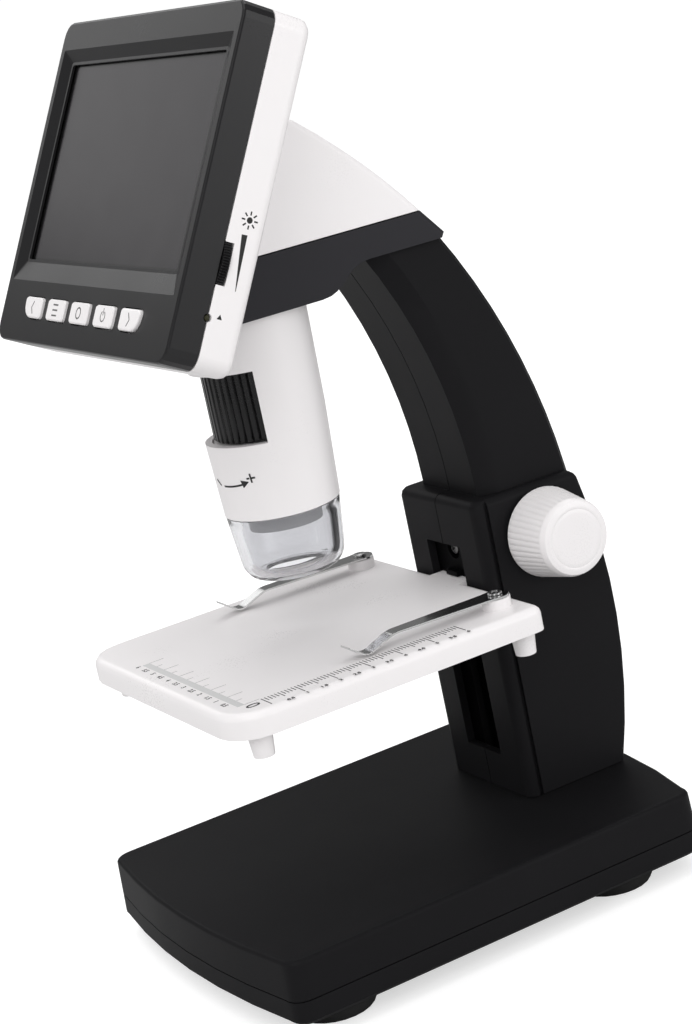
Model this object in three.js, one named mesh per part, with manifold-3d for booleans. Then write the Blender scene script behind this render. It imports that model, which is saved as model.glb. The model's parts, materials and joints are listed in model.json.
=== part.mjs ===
// Desk microscope with a tilted colour display, a curved stand and a rack-driven stage.
// Millimetres, +Z up, +X to the viewer's right of the display, +Y to the back.
// The origin is on the floor, under the middle of the base.
import * as THREE from 'three';
import { mergeVertices } from 'three/addons/utils/BufferGeometryUtils.js';
import Module from 'manifold-3d';

const wasm = await Module();
wasm.setup();

// Clearances
const seatGap = 0.3; // between a piece and the seat cut for it
const seamGap = 0.3; // open line between two shell halves or covers
const runGap = 0.5; // between a sliding piece and its guide
const cutOver = 2; // overrun of a cutting solid past a face
const weldTolerance = 0.0001;

// Sides of round shapes
const boreSides = 12;
const shankSides = 8;
const headSides = 14;
const postSides = 14;
const pinSides = 16;
const roundSides = 24;
const turnedSides = 32;
const tubeSides = 36;
const slotSides = 48;
const columnStations = 9;
const bracketStations = 6;

// Base
const baseWidth = 115.6;
const baseFrontReach = 73.2; // from the middle to the front edge
const baseBackPast = 5.68; // of the back edge behind the column's foot
const baseDraft = 0.7; // the top outline is drawn in by this
const baseFrontBow = 5.6;
const baseBackBow = 8.2;
const baseCorner = 6;
const baseFillet = 1.2;
const baseWall = 2.4;
const baseShellHeight = 11.3;
const baseCoverHeight = 6.7;
const footRadius = 12.5;
const footTipRadius = 11;
const footHeight = 5.6;
const footSideInset = 16.8; // foot centre from the side of the base
const footFrontInset = 23.2;
const footRearInset = 29.5;
const ballastWidth = 84;
const ballastDepth = 96;
const ballastThick = 6;
const ballastFromFront = 18;

// Column, the lower part of the stand
const columnHalfWidth = 21.5;
const columnFrontY = 32.6;
const columnTop = 113.4;
const columnBackBulge = 73.3; // rearmost Y of the back curve
const columnBulgeHeight = 71;
const columnBackRadius = 160;
const columnFrontRound = 3.2;
const columnBackRound = 1.2;
const columnTopRound = 2.4;
const grooveWide = 1.3;
const grooveDeep = 1.1;
const standWall = 2.5;
const slotHalfWidth = 9.1;
const slotTop = 99;
const slotBottom = 35;

// Arm, the upper part of the stand
const armHalfWidth = 18.2;
const armFaceHalfWidth = 14.8; // flat front face between the two side bevels
const armBevelDepth = 5.9;
const armBackBevel = 1.6;
const armFrontY = 38.3;
const armFrontHeight = 112; // where the front curve starts upright
const armFrontRadius = 151;
const armBackY = 69.3;
const armBackHeight = 90;
const armBackRadius = 186;
const armStations = 11;

// Stage and its rack drive
const stageHalfWidth = 49.6;
const stageDepth = 96.6;
const stageThick = 7;
const stageTopZ = 88.6;
const stageBackGap = 0.4; // from the column's front face
const stageFrontCorner = 11;
const stageBackCorner = 3;
const stageRound = 2.2;
const stageUnderDeep = 4.2;
const stageWall = 2.8;
const legRadius = 3.5;
const legTipRadius = 2.9;
const legHeight = 7;
const legSideInset = 7;
const legFrontInset = 9.6;
const legBackInset = 4.2;
const bossRadius = 4.1;
const bossHeight = 2.9;
const bossSideInset = 11.6;
const bossBackInset = 7.7;
const neckHalfWidth = 8.2;
const neckHeight = 11.7;
const stageLiftUp = 8;
const stageLiftDown = 40;
const sliderHalfWidth = 12.5;
const sliderThick = 2.6;
const sliderBlockHalf = 8.3;
const sliderBottom = 70;
const sliderTop = 99.5;
const guideRibThick = 2;
const guideRibGap = 1;
const rackHalfWidth = 4;
const rackBarFrontY = 42;
const rackMargin = 7; // of rack past the pinion at each end of the travel
const sliderScrewZ = 96.5;
const sliderNoseHalf = 2.9; // block of the slider that shows in the slot over the neck
const sliderNoseRise = 1.8; // above the stage top
const sliderNoseInset = 0.8; // behind the column's face
const stageScrewRise = 3.1; // above the neck's lower face

// Knob, shaft and pinion
const knobAxisY = 53.8;
const knobAxisZ = 99.1;
const knobGap = 0.9; // behind the knob's rear face
const knobLength = 15.6;
const knobRearRadius = 13.1;
const knobFrontRadius = 10.8;
const knobRim = 2.4; // smooth band at the front
const knobFaceRadius = 9.2;
const knobRimShare = 0.72; // of the way out from face to front radius
const knobRibDepth = 0.45;
const knobRibs = 44;
const knobSocketDeep = 9;
const shaftRadius = 2.5;
const bushRadius = 4.4;
const bushFlangeRadius = 6.2;
const bushFlangeThick = 1.2;
const seatLong = 2.5; // of the blind seat for the shaft's far end
const toothModule = 1;
const pinionTeeth = 12;
const pinionHalfLength = 4.6;
const toothBacklash = 0.8;
const addendumShare = 0.75; // of the module
const dedendumShare = 1.1; // of the module
const pressureSlopeShare = 0.364; // side slope of a rack tooth

// Clips
const clipWidth = 5;
const clipThick = 0.6;
const clipReach = 34; // from the screw to the bend
const clipBendRise = 0.6;
const clipTipRun = 8.7;
const clipTailRun = 5.4;
const clipTailRise = 4;
const clipLift = 0.1; // running gap over the boss and over the stage
const clipScrewHeadRadius = 3.1;
const clipScrewHeadHigh = 1.1;
const clipScrewRadius = 1.2;
const clipScrewDeep = 5;

// Head
const headHalfWidth = 20;
const headWall = 2.2;
const headSplitZ = 196.6; // line between the white cover and the black housing
const headUnderZ = 180.7; // flat underside round the tube
const headNeckZ = 187.8; // underside above the arm
const headStepStartY = 0.6;
const headStepEndY = 17;
const headBackPast = 13.84; // of the back behind the middle of the arm
const headBackRise = 1.4;
const headBackLip = 0.8;
const headEdge = 2; // rounding of the side edges
const ridgeShare = 0.41; // of its rounding: how far the arc's centre lies in front of the ridge line
const headRidgeZ = 229;
const headRidgeY = 3.4;
const headRidgeRound = 3;
const headSlopeFootInset = 6.2; // from the back to the foot of the cover's slope
const headSlopeBulge = 1.3; // of the slope's middle out of the straight line

// Tube, focus wheel and optics
const tubeAxisY = -14.5;
const tubeTopRadius = 18;
const tubeWaistRadius = 17.5;
const tubeFootRadius = 16.3;
const tubeWaistZ = 152;
const tubeFootZ = 125.8;
const tubeWall = 2;
const wheelRadius = 14.6;
const wheelBore = 11.2;
const wheelRibs = 44;
const wheelRibDeep = 0.5;
const windowBottomZ = 147;
const windowTopZ = 167;
const windowHalfAngle = 64; // degrees either side of the front
const barrelRadius = 10.7;
const barrelBore = 8;
const barrelBottomZ = 121;
const barrelTopZ = 170;
const lensRadius = 7.7;
const lensThick = 3.4;
const lensBulge = 0.9;
const ledRingInner = 11.3;
const ledRingThick = 1.4;
const ledCount = 8;
const ledRadius = 0.6;
const ledHigh = 1;
const capFootRadius = 14.5;
const capBevelRadius = 11.6;
const capBevelZ = 110.4;
const capBottomZ = 106.8;
const capWall = 1.3;
const capHoleRadius = 8.4;
const capStep = 0.2; // of the tube's foot past the cap
const capSpigotHigh = 3.3;
const capSpigotWall = 0.9;
const shelfThick = 2;
const ledgeZ = 174;
const ledgeThick = 1.4;
const ledgeBore = 9;
const sensorHalf = 10.5;
const sensorChipHalf = 3.2;
const sensorChipHigh = 0.8;
const tubeBossRadius = 2.6;
const tubeBossBottomZ = 172;
const lensLip = 1;
const lensLipHigh = 1.2;

// Display
const displayLean = 28.1; // degrees back from upright
const displayY = -34.6; // a point of the front face, on the centre plane
const displayZ = 238.6;
const displayHalfWidth = 56.9;
const displayTop = 28.2; // along the face, from that point
const displayBottom = -62.8;
const displayCorner = 4.6;
const bezelDepth = 8.6;
const bezelEdge = 0.7; // rounded front edge
const bezelWall = 2;
const rearDepth = 19.2;
const rearEdge = 2.4;
const recessHalfWidth = 54;
const recessTop = 20.1;
const recessBottom = -45.6;
const recessDepth = 1.5;
const lcdHalfWidth = 49.1;
const lcdTop = 16.1;
const lcdBottom = -39.4;
const lcdDepth = 2.5;
const lcdThick = 3;
const lcdMargin = 2; // of the panel behind the bezel
const lcdRim = 0.8; // flat rim between the sloped recess and the glass
const buttonWidth = 11.7;
const buttonHeight = 5.8;
const buttonSpace = 4.55; // between neighbours
const buttonRow = -53;
const buttonCorner = 1.1;
const buttonOuterCorner = 4.2;
const buttonProud = 0.9;
const buttonGap = 0.35;
const buttonDeep = 3.4;
const buttonFlange = 0.8;
const buttonFlangeThick = 1;
const buttonEdge = 0.35;
const boardThick = 1.6;
const buttonBoardDepth = 5.2;
const buttonBoardHigh = 12;
const switchHalf = 1.5;
const switchHigh = 0.8;
const boardPostRadius = 1.6;
const boardPostSpace = 5.25; // from the last button to the post's axis
const boardPostMargin = 3; // from the post's axis to the board's end
const mainBoardDepth = 10.2;
const mainBoardHalf = 51.5;
const mainBoardTop = 24;
const mainBoardBottom = -24;
const mainPostX = 41;
const mainPostRow = 19;
const mainPostRadius = 2.2;
const batteryWide = 62;
const batteryHigh = 38;
const batteryThick = 4;
const batteryRow = 4;
const dimmerRow = -35.2; // wheel centre along the face
const dimmerRadius = 10.8;
const dimmerProud = 1.1;
const dimmerThick = 2.2;
const dimmerBore = 2;
const dimmerRibs = 96;
const dimmerRibDeep = 0.2;
const dimmerHubRadius = 1.7;
const dimmerBodyHalf = 4.4;
const resetRow = -49;
const resetRadius = 0.8;
const resetLength = 3.4;
const usbHalfWidth = 3.9;
const usbHigh = 2.8;
const usbLong = 6;
const usbRow = -18;
const usbSkin = 0.35;
const usbTongue = 0.7;

// Fasteners and joins
const screwHeadRadius = 2.8;
const screwHeadHigh = 1.6;
const screwRadius = 1.4;
const screwLong = 9;
const postWall = 1.3; // round the head or shank of a screw
const shellScrewHeadX = -17.4;
const shellScrewLong = 24;
const shellScrewColumn = [63, 50]; // Y and Z
const shellScrewArmZ = 167;
const shellScrewReach = 4; // of the shank in the right shell past the seam
const bracketHalfThick = 1.5;
const bracketShare = 0.65; // of the room inside the arm, front to back
const bracketBottomZ = 160;
const flangeHalfWidth = 12;
const flangeHalfDepth = 8;
const flangeThick = 2;
const neckScrewX = 8;
const tubeScrewX = 13.4;
const displayScrewX = 13;
const displayScrewRow = -47;
const caseScrewX = 50.8;
const caseScrewRow = -56.9;
const caseScrewSunk = 0.5; // head below the back face
const cableHalfWidth = 5;
const cableThick = 0.5;
const cableFromAxis = 6.5; // behind the tube's axis
const cableRow = -30; // where it enters the display
const cableHoleHalf = 4;

const white = [0xf2f1f0, 0.42, 0];
const black = [0x17181a, 0.55, 0];
const clear = [0xdfe6ea, 0.08, 0];
const glass = [0x8a8f96, 0.12, 0];
const brass = [0xb9985a, 0.35, 1];
const bezelGrey = [0x2a2b2e, 0.5, 0];
const steel = [0xc9ccd0, 0.22, 1];
const boardGreen = [0x1f6b3c, 0.6, 0];

// A material from [colour, roughness, metalness].
function material([color, roughness, metalness], opacity = 1) {
  return new THREE.MeshStandardMaterial({ color, roughness, metalness, opacity, transparent: opacity < 1 });
}

// Signed volume of a triangle mesh: negative when its faces point in.
function signedVolume(position, index) {
  const a = new THREE.Vector3();
  const b = new THREE.Vector3();
  const c = new THREE.Vector3();
  let total = 0;
  for (let i = 0; i < index.length; i += 3) {
    a.fromBufferAttribute(position, index[i]);
    b.fromBufferAttribute(position, index[i + 1]);
    c.fromBufferAttribute(position, index[i + 2]);
    total += a.dot(b.cross(c));
  }
  return total;
}

// A closed three.js geometry as a solid that can be cut and joined.
function solid(geometry) {
  const bare = geometry.clone();
  bare.deleteAttribute('normal');
  bare.deleteAttribute('uv');
  const merged = mergeVertices(bare, weldTolerance);
  const corners = merged.index.array;
  const kept = [];
  for (let i = 0; i < corners.length; i += 3) {
    const [a, b, c] = [corners[i], corners[i + 1], corners[i + 2]];
    if (a !== b && b !== c && a !== c) {
      kept.push(a, b, c);
    }
  }
  if (signedVolume(merged.attributes.position, kept) < 0) {
    kept.reverse();
  }
  const vertProperties = new Float32Array(merged.attributes.position.array);
  const triVerts = new Uint32Array(kept);
  return new wasm.Manifold(new wasm.Mesh({ numProp: 3, vertProperties, triVerts }));
}

// The solid's triangles as a BufferGeometry with flat normals.
function geometryOf(body) {
  const { vertProperties, triVerts } = body.getMesh();
  const geometry = new THREE.BufferGeometry();
  geometry.setAttribute('position', new THREE.BufferAttribute(new Float32Array(vertProperties), 3));
  geometry.setIndex(new THREE.BufferAttribute(new Uint32Array(triVerts), 1));
  geometry.computeVertexNormals();
  return geometry;
}

function join(...bodies) {
  return bodies.reduce((whole, next) => whole.add(next));
}

function cut(body, ...tools) {
  return tools.reduce((rest, tool) => rest.subtract(tool), body);
}

function box([x0, x1], [y0, y1], [z0, z1]) {
  const geometry = new THREE.BoxGeometry(x1 - x0, y1 - y0, z1 - z0);
  return solid(geometry.translate((x0 + x1) / 2, (y0 + y1) / 2, (z0 + z1) / 2));
}

// Turns a profile of [radius, height] points about the upright line at x, y.
function turned(profile, segments, [x, y] = [0, 0]) {
  const points = profile.map(([radius, height]) => new THREE.Vector2(radius, height));
  const geometry = new THREE.LatheGeometry(points, segments);
  return solid(geometry.rotateX(Math.PI / 2).translate(x, y, 0));
}

// The same about the line along X at y, z: profile heights become X.
function turnedAlongX(profile, segments, [y, z]) {
  const points = profile.map(([radius, height]) => new THREE.Vector2(radius, height));
  const geometry = new THREE.LatheGeometry(points, segments);
  return solid(geometry.rotateZ(-Math.PI / 2).translate(0, y, z));
}

// The same about the line along Y at x, z: profile heights become Y.
function turnedAlongY(profile, segments, [x, z]) {
  const points = profile.map(([radius, height]) => new THREE.Vector2(radius, height));
  return solid(new THREE.LatheGeometry(points, segments).translate(x, 0, z));
}

function rod(radius, low, high) {
  return [[0, low], [radius, low], [radius, high], [0, high]];
}

function tube(inner, outer, low, high) {
  return [[inner, low], [outer, low], [outer, high], [inner, high], [inner, low]];
}

function shapeOf(points) {
  return new THREE.Shape(points.map(([a, b]) => new THREE.Vector2(a, b)));
}

// Extrudes an outline given in Y and Z from x0 to x1, with its end edges rounded if asked.
function sideProfile(outline, [x0, x1], round = 0) {
  const geometry = new THREE.ExtrudeGeometry(outline, {
    depth: x1 - x0 - 2 * round,
    bevelEnabled: round > 0,
    bevelThickness: round,
    bevelSize: round,
    bevelOffset: -round,
    bevelSegments: 3,
  });
  geometry.translate(0, 0, round);
  const axes = [new THREE.Vector3(0, 1, 0), new THREE.Vector3(0, 0, 1), new THREE.Vector3(1, 0, 0)];
  geometry.applyMatrix4(new THREE.Matrix4().makeBasis(...axes));
  return solid(geometry.translate(x0, 0, 0));
}

// Extrudes an outline given in X and Y from z0 to z1.
function planProfile(outline, [z0, z1]) {
  const geometry = new THREE.ExtrudeGeometry(outline, { depth: z1 - z0, bevelEnabled: false });
  return solid(geometry.translate(0, 0, z0));
}

// Skins a stack of rings, each with the same number of [x, y, z] points.
function loft(rings) {
  const count = rings[0].length;
  const index = [];
  for (let r = 0; r + 1 < rings.length; r += 1) {
    for (let i = 0; i < count; i += 1) {
      const [a, b] = [r * count + i, r * count + ((i + 1) % count)];
      index.push(a, b, b + count, a, b + count, a + count);
    }
  }
  const outline = rings[0].map(([x, y]) => new THREE.Vector2(x, y));
  const last = (rings.length - 1) * count;
  for (const [a, b, c] of THREE.ShapeUtils.triangulateShape(outline, [])) {
    index.push(a, c, b, last + a, last + b, last + c);
  }
  const geometry = new THREE.BufferGeometry();
  geometry.setAttribute('position', new THREE.Float32BufferAttribute(rings.flat(2), 3));
  geometry.setIndex(index);
  return solid(geometry);
}

function arc([cx, cy], radius, from, to, steps) {
  return Array.from({ length: steps + 1 }, (unused, i) => {
    const angle = THREE.MathUtils.degToRad(from + ((to - from) * i) / steps);
    return [cx + radius * Math.cos(angle), cy + radius * Math.sin(angle)];
  });
}

// Rings that round a top edge: ringAt gives the outline at a height, drawn in by an inset.
function filletRings(ringAt, topZ, radius) {
  return [0, 30, 60, 90].map((degrees) => {
    const angle = THREE.MathUtils.degToRad(degrees);
    return ringAt(topZ - radius * (1 - Math.sin(angle)), radius * (1 - Math.cos(angle)));
  });
}

// A rounded rectangle; radii run from the lower left corner, anticlockwise.
function roundedBox([x0, x1], [y0, y1], radii, steps = 4) {
  const [a, b, c, d] = Array.isArray(radii) ? radii : [radii, radii, radii, radii];
  return [
    ...arc([x0 + a, y0 + a], a, 180, 270, steps),
    ...arc([x1 - b, y0 + b], b, 270, 360, steps),
    ...arc([x1 - c, y1 - c], c, 0, 90, steps),
    ...arc([x0 + d, y1 - d], d, 90, 180, steps),
  ];
}

function atHeight(outline, z) {
  return outline.map(([x, y]) => [x, y, z]);
}

const group = new THREE.Group();

function add(parent, name, body, look, opacity) {
  const mesh = new THREE.Mesh(geometryOf(body), material(look, opacity));
  mesh.name = name;
  parent.add(mesh);
}

// Base

const baseHalf = baseWidth / 2;
const coverBottomZ = footHeight;
const coverTopZ = coverBottomZ + baseCoverHeight;
const shellBottomZ = coverTopZ + seamGap;
const baseTopZ = coverTopZ + baseShellHeight;
const baseFront = -baseFrontReach;
const baseBack = columnBackAt(baseTopZ) + baseBackPast;
const baseDepth = baseBack - baseFront;
const footPlaces = {
  front_left: [-baseHalf + footSideInset, baseFront + footFrontInset],
  front_right: [baseHalf - footSideInset, baseFront + footFrontInset],
  rear_left: [-baseHalf + footSideInset, baseBack - footRearInset],
  rear_right: [baseHalf - footSideInset, baseBack - footRearInset],
};

// Plan outline of the base, drawn in by inset: bowed front and back, round corners.
function baseOutline(inset) {
  const half = baseHalf - inset;
  const front = baseFront + inset;
  const back = baseBack - inset;
  const corner = baseCorner - inset / 2;
  const flat = half - corner;
  const bowShare = (flat / half) ** 2;
  const frontSide = front + baseFrontBow * bowShare;
  const backSide = back - baseBackBow * bowShare;
  const shape = new THREE.Shape();
  shape.moveTo(-half, frontSide + corner);
  shape.quadraticCurveTo(-half, frontSide, -flat, frontSide);
  shape.quadraticCurveTo(0, 2 * front - frontSide, flat, frontSide);
  shape.quadraticCurveTo(half, frontSide, half, frontSide + corner);
  shape.lineTo(half, backSide - corner);
  shape.quadraticCurveTo(half, backSide, flat, backSide);
  shape.quadraticCurveTo(0, 2 * back - backSide, -flat, backSide);
  shape.quadraticCurveTo(-half, backSide, -half, backSide - corner);
  return shape.getPoints(6).map(({ x, y }) => [x, y]);
}

// Inset of the base's side at a height: it leans in towards the top.
function baseInset(z) {
  return (baseDraft * (z - coverBottomZ)) / (baseTopZ - coverBottomZ);
}

function baseRing(z, extra = 0) {
  return atHeight(baseOutline(baseInset(z) + extra), z);
}

function baseShell() {
  const outer = loft([baseRing(shellBottomZ), ...filletRings(baseRing, baseTopZ, baseFillet)]);
  const inner = loft([
    baseRing(shellBottomZ - cutOver, baseWall),
    baseRing(baseTopZ - baseWall, baseWall),
  ]);
  return cut(outer, inner, ...columnScrewPlaces.map((place) => {
    return turned(rod(screwRadius + seatGap, shellBottomZ, baseTopZ + cutOver), pinSides, place);
  }));
}

function baseCover() {
  const outer = loft([
    baseRing(coverBottomZ, baseFillet),
    baseRing(coverBottomZ + baseFillet),
    baseRing(coverTopZ),
  ]);
  const inner = loft([
    baseRing(coverBottomZ + baseWall, baseWall),
    baseRing(coverTopZ + cutOver, baseWall),
  ]);
  return cut(outer, inner);
}

function ballast() {
  const front = baseFront + ballastFromFront;
  const x = [-ballastWidth / 2, ballastWidth / 2];
  const outline = roundedBox(x, [front, front + ballastDepth], baseCorner);
  return planProfile(shapeOf(outline), [coverBottomZ + baseWall, coverBottomZ + baseWall + ballastThick]);
}

function foot(place) {
  const profile = [
    [0, 0],
    [footTipRadius, 0],
    [(footTipRadius + footRadius) / 2, footHeight / 4],
    [footRadius, footHeight / 2],
    [footRadius, footHeight],
    [0, footHeight],
  ];
  return turned(profile, roundSides, place);
}

const columnMidY = (columnFrontY + columnBackBulge) / 2;
const columnScrewPlaces = [-1, 1].map((side) => [(side * columnHalfWidth) / 2, columnMidY]);
const columnScrewHeadZ = baseTopZ - baseWall - screwHeadHigh;

// A screw with its head below and its shank pointing up.
function screwUp(place, headZ) {
  const head = rod(screwHeadRadius, headZ, headZ + screwHeadHigh);
  const shank = rod(screwRadius, headZ, headZ + screwLong);
  return join(turned(head, headSides, place), turned(shank, shankSides, place));
}

add(group, 'base_shell', baseShell(), black);
add(group, 'base_cover', baseCover(), black);
add(group, 'ballast_plate', ballast(), steel);
for (const [name, place] of Object.entries(footPlaces)) {
  add(group, `foot_${name}`, foot(place), black);
}
add(group, 'column_screw_left', screwUp(columnScrewPlaces[0], columnScrewHeadZ), steel);
add(group, 'column_screw_right', screwUp(columnScrewPlaces[1], columnScrewHeadZ), steel);

// Stand: two shells that meet on the centre plane

const standBottomZ = baseTopZ + seatGap;
const halfSeam = seamGap / 2;
const slotWallBackY = columnFrontY + standWall;

// How far a circular curve has drawn in at a height above where it is upright.
function arcDrop(radius, rise) {
  return radius - Math.sqrt(radius ** 2 - rise ** 2);
}

function columnBackAt(z) {
  return columnBackBulge - arcDrop(columnBackRadius, z - columnBulgeHeight);
}

function armFrontAt(z) {
  return armFrontY - arcDrop(armFrontRadius, Math.max(0, z - armFrontHeight));
}

function armBackAt(z) {
  return armBackY - arcDrop(armBackRadius, z - armBackHeight);
}

// Right half of the column's outline at a height, drawn in by inset.
function columnRing(z, inset, startX) {
  const half = columnHalfWidth - inset;
  const front = columnFrontY + inset;
  const back = columnBackAt(z) - inset;
  const frontRound = columnFrontRound - inset / 2;
  return atHeight([
    [startX, front],
    ...arc([half - frontRound, front + frontRound], frontRound, 270, 360, 4),
    ...arc([half - columnBackRound, back - columnBackRound], columnBackRound, 0, 90, 3),
    [startX, back],
  ], z);
}

function armRing(z, inset, startX) {
  const half = armHalfWidth - inset;
  const face = armFaceHalfWidth - inset / 2;
  const front = armFrontAt(z) + inset;
  const back = armBackAt(z) - inset;
  return atHeight([
    [startX, front],
    [face, front],
    [half, front + armBevelDepth - inset / 2],
    [half, back - armBackBevel],
    [half - armBackBevel, back],
    [startX, back],
  ], z);
}

function heights(low, high, count) {
  return Array.from({ length: count }, (unused, i) => low + ((high - low) * i) / (count - 1));
}

const columnLevels = heights(standBottomZ, columnTop - columnTopRound, columnStations);
const armRootZ = columnTop - 3 * standWall;
const armLevels = heights(armRootZ, headNeckZ + cutOver, armStations);

// Side outline of the head's underside, lowered by drop.
function undersideProfile(drop, topZ) {
  const low = headUnderZ - drop;
  const high = headNeckZ - drop;
  const midY = (headStepStartY + headStepEndY) / 2;
  const shape = new THREE.Shape();
  shape.moveTo(-baseDepth / 2, low);
  shape.lineTo(headStepStartY, low);
  shape.bezierCurveTo(midY, low, midY, high, headStepEndY, high);
  shape.lineTo(baseDepth / 2, high);
  shape.lineTo(baseDepth / 2, topZ);
  shape.lineTo(-baseDepth / 2, topZ);
  return new THREE.Shape(shape.getPoints(8));
}

// Middle of the arm, front to back, at a height.
function armMidAt(z) {
  return (armFrontAt(z) + armBackAt(z)) / 2;
}

const shellScrewPlaces = {
  column: shellScrewColumn,
  arm: [armMidAt(shellScrewArmZ), shellScrewArmZ],
};
const neckFloorZ = headNeckZ + headWall;
const neckScrewY = armMidAt(neckFloorZ);
const bracketHalfDepth = bracketShare * (armBackAt(neckFloorZ) - neckScrewY - standWall);
const flangeTopZ = neckFloorZ + flangeThick;
const neckScrewBottomZ = flangeTopZ - screwLong;
const guideRibFrontY = slotWallBackY + runGap + sliderThick + runGap;
const shankHole = screwRadius + seatGap;
const postRadius = shankHole + postWall;
const headHole = screwHeadRadius + seatGap;
const headPostRadius = headHole + postWall;
const wallInnerX = columnHalfWidth - standWall;
const shaftLine = [knobAxisY, knobAxisZ];

// Rib that traps the slider's flange behind the front wall.
function guideRib() {
  const x = [sliderBlockHalf + guideRibGap, columnHalfWidth - standWall / 2];
  return box(x, [guideRibFrontY, guideRibFrontY + guideRibThick], [standBottomZ, armRootZ]);
}

// A post for an upright screw, with a web that ties it to the side wall.
function uprightPost([x, y], [low, high], wallX) {
  const post = turned(rod(postRadius, low, high), postSides, [x, y]);
  return join(post, box([x, wallX], [y - standWall / 2, y + standWall / 2], [low, high]));
}

// Posts of the two screws that clamp the shells, reaching in from the side wall.
function shellPosts() {
  const columnPost = rod(headPostRadius, halfSeam, columnHalfWidth - standWall / 2);
  const armPost = rod(headPostRadius, bracketHalfThick + seatGap, armHalfWidth - standWall / 2);
  return join(
    turnedAlongX(columnPost, postSides, shellScrewPlaces.column),
    turnedAlongX(armPost, postSides, shellScrewPlaces.arm),
  );
}

// The half of the stand on the +X side, before the two halves get what differs.
function plainShell() {
  const outerRing = (z, inset) => columnRing(z, inset, halfSeam);
  const column = loft([
    ...columnLevels.slice(0, -1).map((z) => outerRing(z, 0)),
    ...filletRings(outerRing, columnTop, columnTopRound),
  ]);
  const arm = loft(armLevels.map((z) => armRing(z, 0, halfSeam)));
  const columnHollow = loft([
    columnRing(standBottomZ - cutOver, standWall, -cutOver),
    ...columnLevels.slice(1).map((z) => columnRing(z - standWall, standWall, -cutOver)),
  ]);
  const armHollow = loft(armLevels.map((z) => armRing(z, standWall, -cutOver)));
  const armHollowRoot = loft([armRootZ - cutOver, armRootZ].map((z) => armRing(z, standWall, -cutOver)));
  const slot = box(
    [-cutOver, slotHalfWidth],
    [columnFrontY - cutOver, slotWallBackY + cutOver],
    [slotBottom, slotTop],
  );
  const grooveY = columnFrontY + columnFrontRound;
  const groove = box(
    [columnHalfWidth - grooveDeep, columnHalfWidth + cutOver],
    [grooveY, grooveY + grooveWide],
    [standBottomZ - cutOver, columnTop + cutOver],
  );
  const [, basePlace] = columnScrewPlaces;
  const basePostTop = columnScrewHeadZ + screwLong + standWall;
  const neckPlace = [neckScrewX, neckScrewY];
  const walls = cut(join(column, arm), columnHollow, armHollow, armHollowRoot, slot, groove);
  const fitted = join(
    walls,
    guideRib(),
    shellPosts(),
    uprightPost(basePlace, [standBottomZ, basePostTop], columnHalfWidth - standWall / 2),
    uprightPost(neckPlace, [neckScrewBottomZ - standWall, neckFloorZ], armHalfWidth - standWall / 2),
  );
  const aboveArm = sideProfile(undersideProfile(seatGap, headRidgeZ), [-cutOver, headHalfWidth + cutOver]);
  const baseBore = rod(shankHole, standBottomZ - cutOver, columnScrewHeadZ + screwLong + seatGap);
  const neckBore = rod(shankHole, neckScrewBottomZ - seatGap, neckFloorZ);
  return cut(
    fitted,
    aboveArm,
    turned(baseBore, boreSides, basePlace),
    turned(neckBore, boreSides, neckPlace),
  );
}

// The right half has the bush's hole and blind bores for the clamping screws.
function rightShell(plain) {
  const bores = Object.values(shellScrewPlaces).map((place) => {
    return turnedAlongX(rod(shankHole, -cutOver, shellScrewReach + seatGap), boreSides, place);
  });
  const bushHole = rod(bushRadius + seatGap, wallInnerX - cutOver, columnHalfWidth + cutOver);
  return cut(plain, ...bores, turnedAlongX(bushHole, boreSides, shaftLine));
}

// The left half is its mirror image, with a blind seat for the shaft and sunk screw heads.
function leftShell(plain) {
  const mirrored = solid(geometryOf(plain).scale(-1, 1, 1));
  const seatEndX = -wallInnerX + seatLong;
  const seatBore = shaftRadius + seatGap;
  const seatRing = rod(seatBore + standWall / 2, -columnHalfWidth + standWall / 2, seatEndX);
  const seat = cut(
    turnedAlongX(seatRing, roundSides, shaftLine),
    turnedAlongX(rod(seatBore, -wallInnerX, seatEndX + cutOver), roundSides, shaftLine),
  );
  const headSeat = rod(headHole, -columnHalfWidth - cutOver, shellScrewHeadX + screwHeadHigh);
  const bores = Object.values(shellScrewPlaces).flatMap((place) => [
    turnedAlongX(rod(shankHole, shellScrewHeadX, cutOver), boreSides, place),
    turnedAlongX(headSeat, headSides, place),
  ]);
  return cut(join(mirrored, seat), ...bores);
}

function shellScrew(place) {
  const underHeadX = shellScrewHeadX + screwHeadHigh;
  const head = turnedAlongX(rod(screwHeadRadius, shellScrewHeadX, underHeadX), headSides, place);
  return join(head, turnedAlongX(rod(screwRadius, shellScrewHeadX, shellScrewReach), shankSides, place));
}

// Steel tongue clamped between the shells, with a flange on the floor of the head.
function neckBracket() {
  const levels = heights(bracketBottomZ, flangeTopZ, bracketStations);
  const outline = [
    ...levels.map((z) => [armMidAt(z) + bracketHalfDepth, z]),
    ...levels.reverse().map((z) => [armMidAt(z) - bracketHalfDepth, z]),
  ];
  const tongue = sideProfile(shapeOf(outline), [-bracketHalfThick, bracketHalfThick]);
  const flange = box(
    [-flangeHalfWidth, flangeHalfWidth],
    [neckScrewY - flangeHalfDepth, neckScrewY + flangeHalfDepth],
    [neckFloorZ, flangeTopZ],
  );
  const holes = [-neckScrewX, neckScrewX].map((x) => {
    return turned(rod(shankHole, neckFloorZ - cutOver, flangeTopZ + cutOver), boreSides, [x, neckScrewY]);
  });
  const clampHole = rod(shankHole, -bracketHalfThick - cutOver, bracketHalfThick + cutOver);
  return cut(join(tongue, flange), ...holes, turnedAlongX(clampHole, boreSides, shellScrewPlaces.arm));
}

// A screw with its head on top and its shank pointing down from headZ.
function screwDown(place, headZ) {
  const head = turned(rod(screwHeadRadius, headZ, headZ + screwHeadHigh), headSides, place);
  return join(head, turned(rod(screwRadius, headZ - screwLong, headZ), shankSides, place));
}

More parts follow.
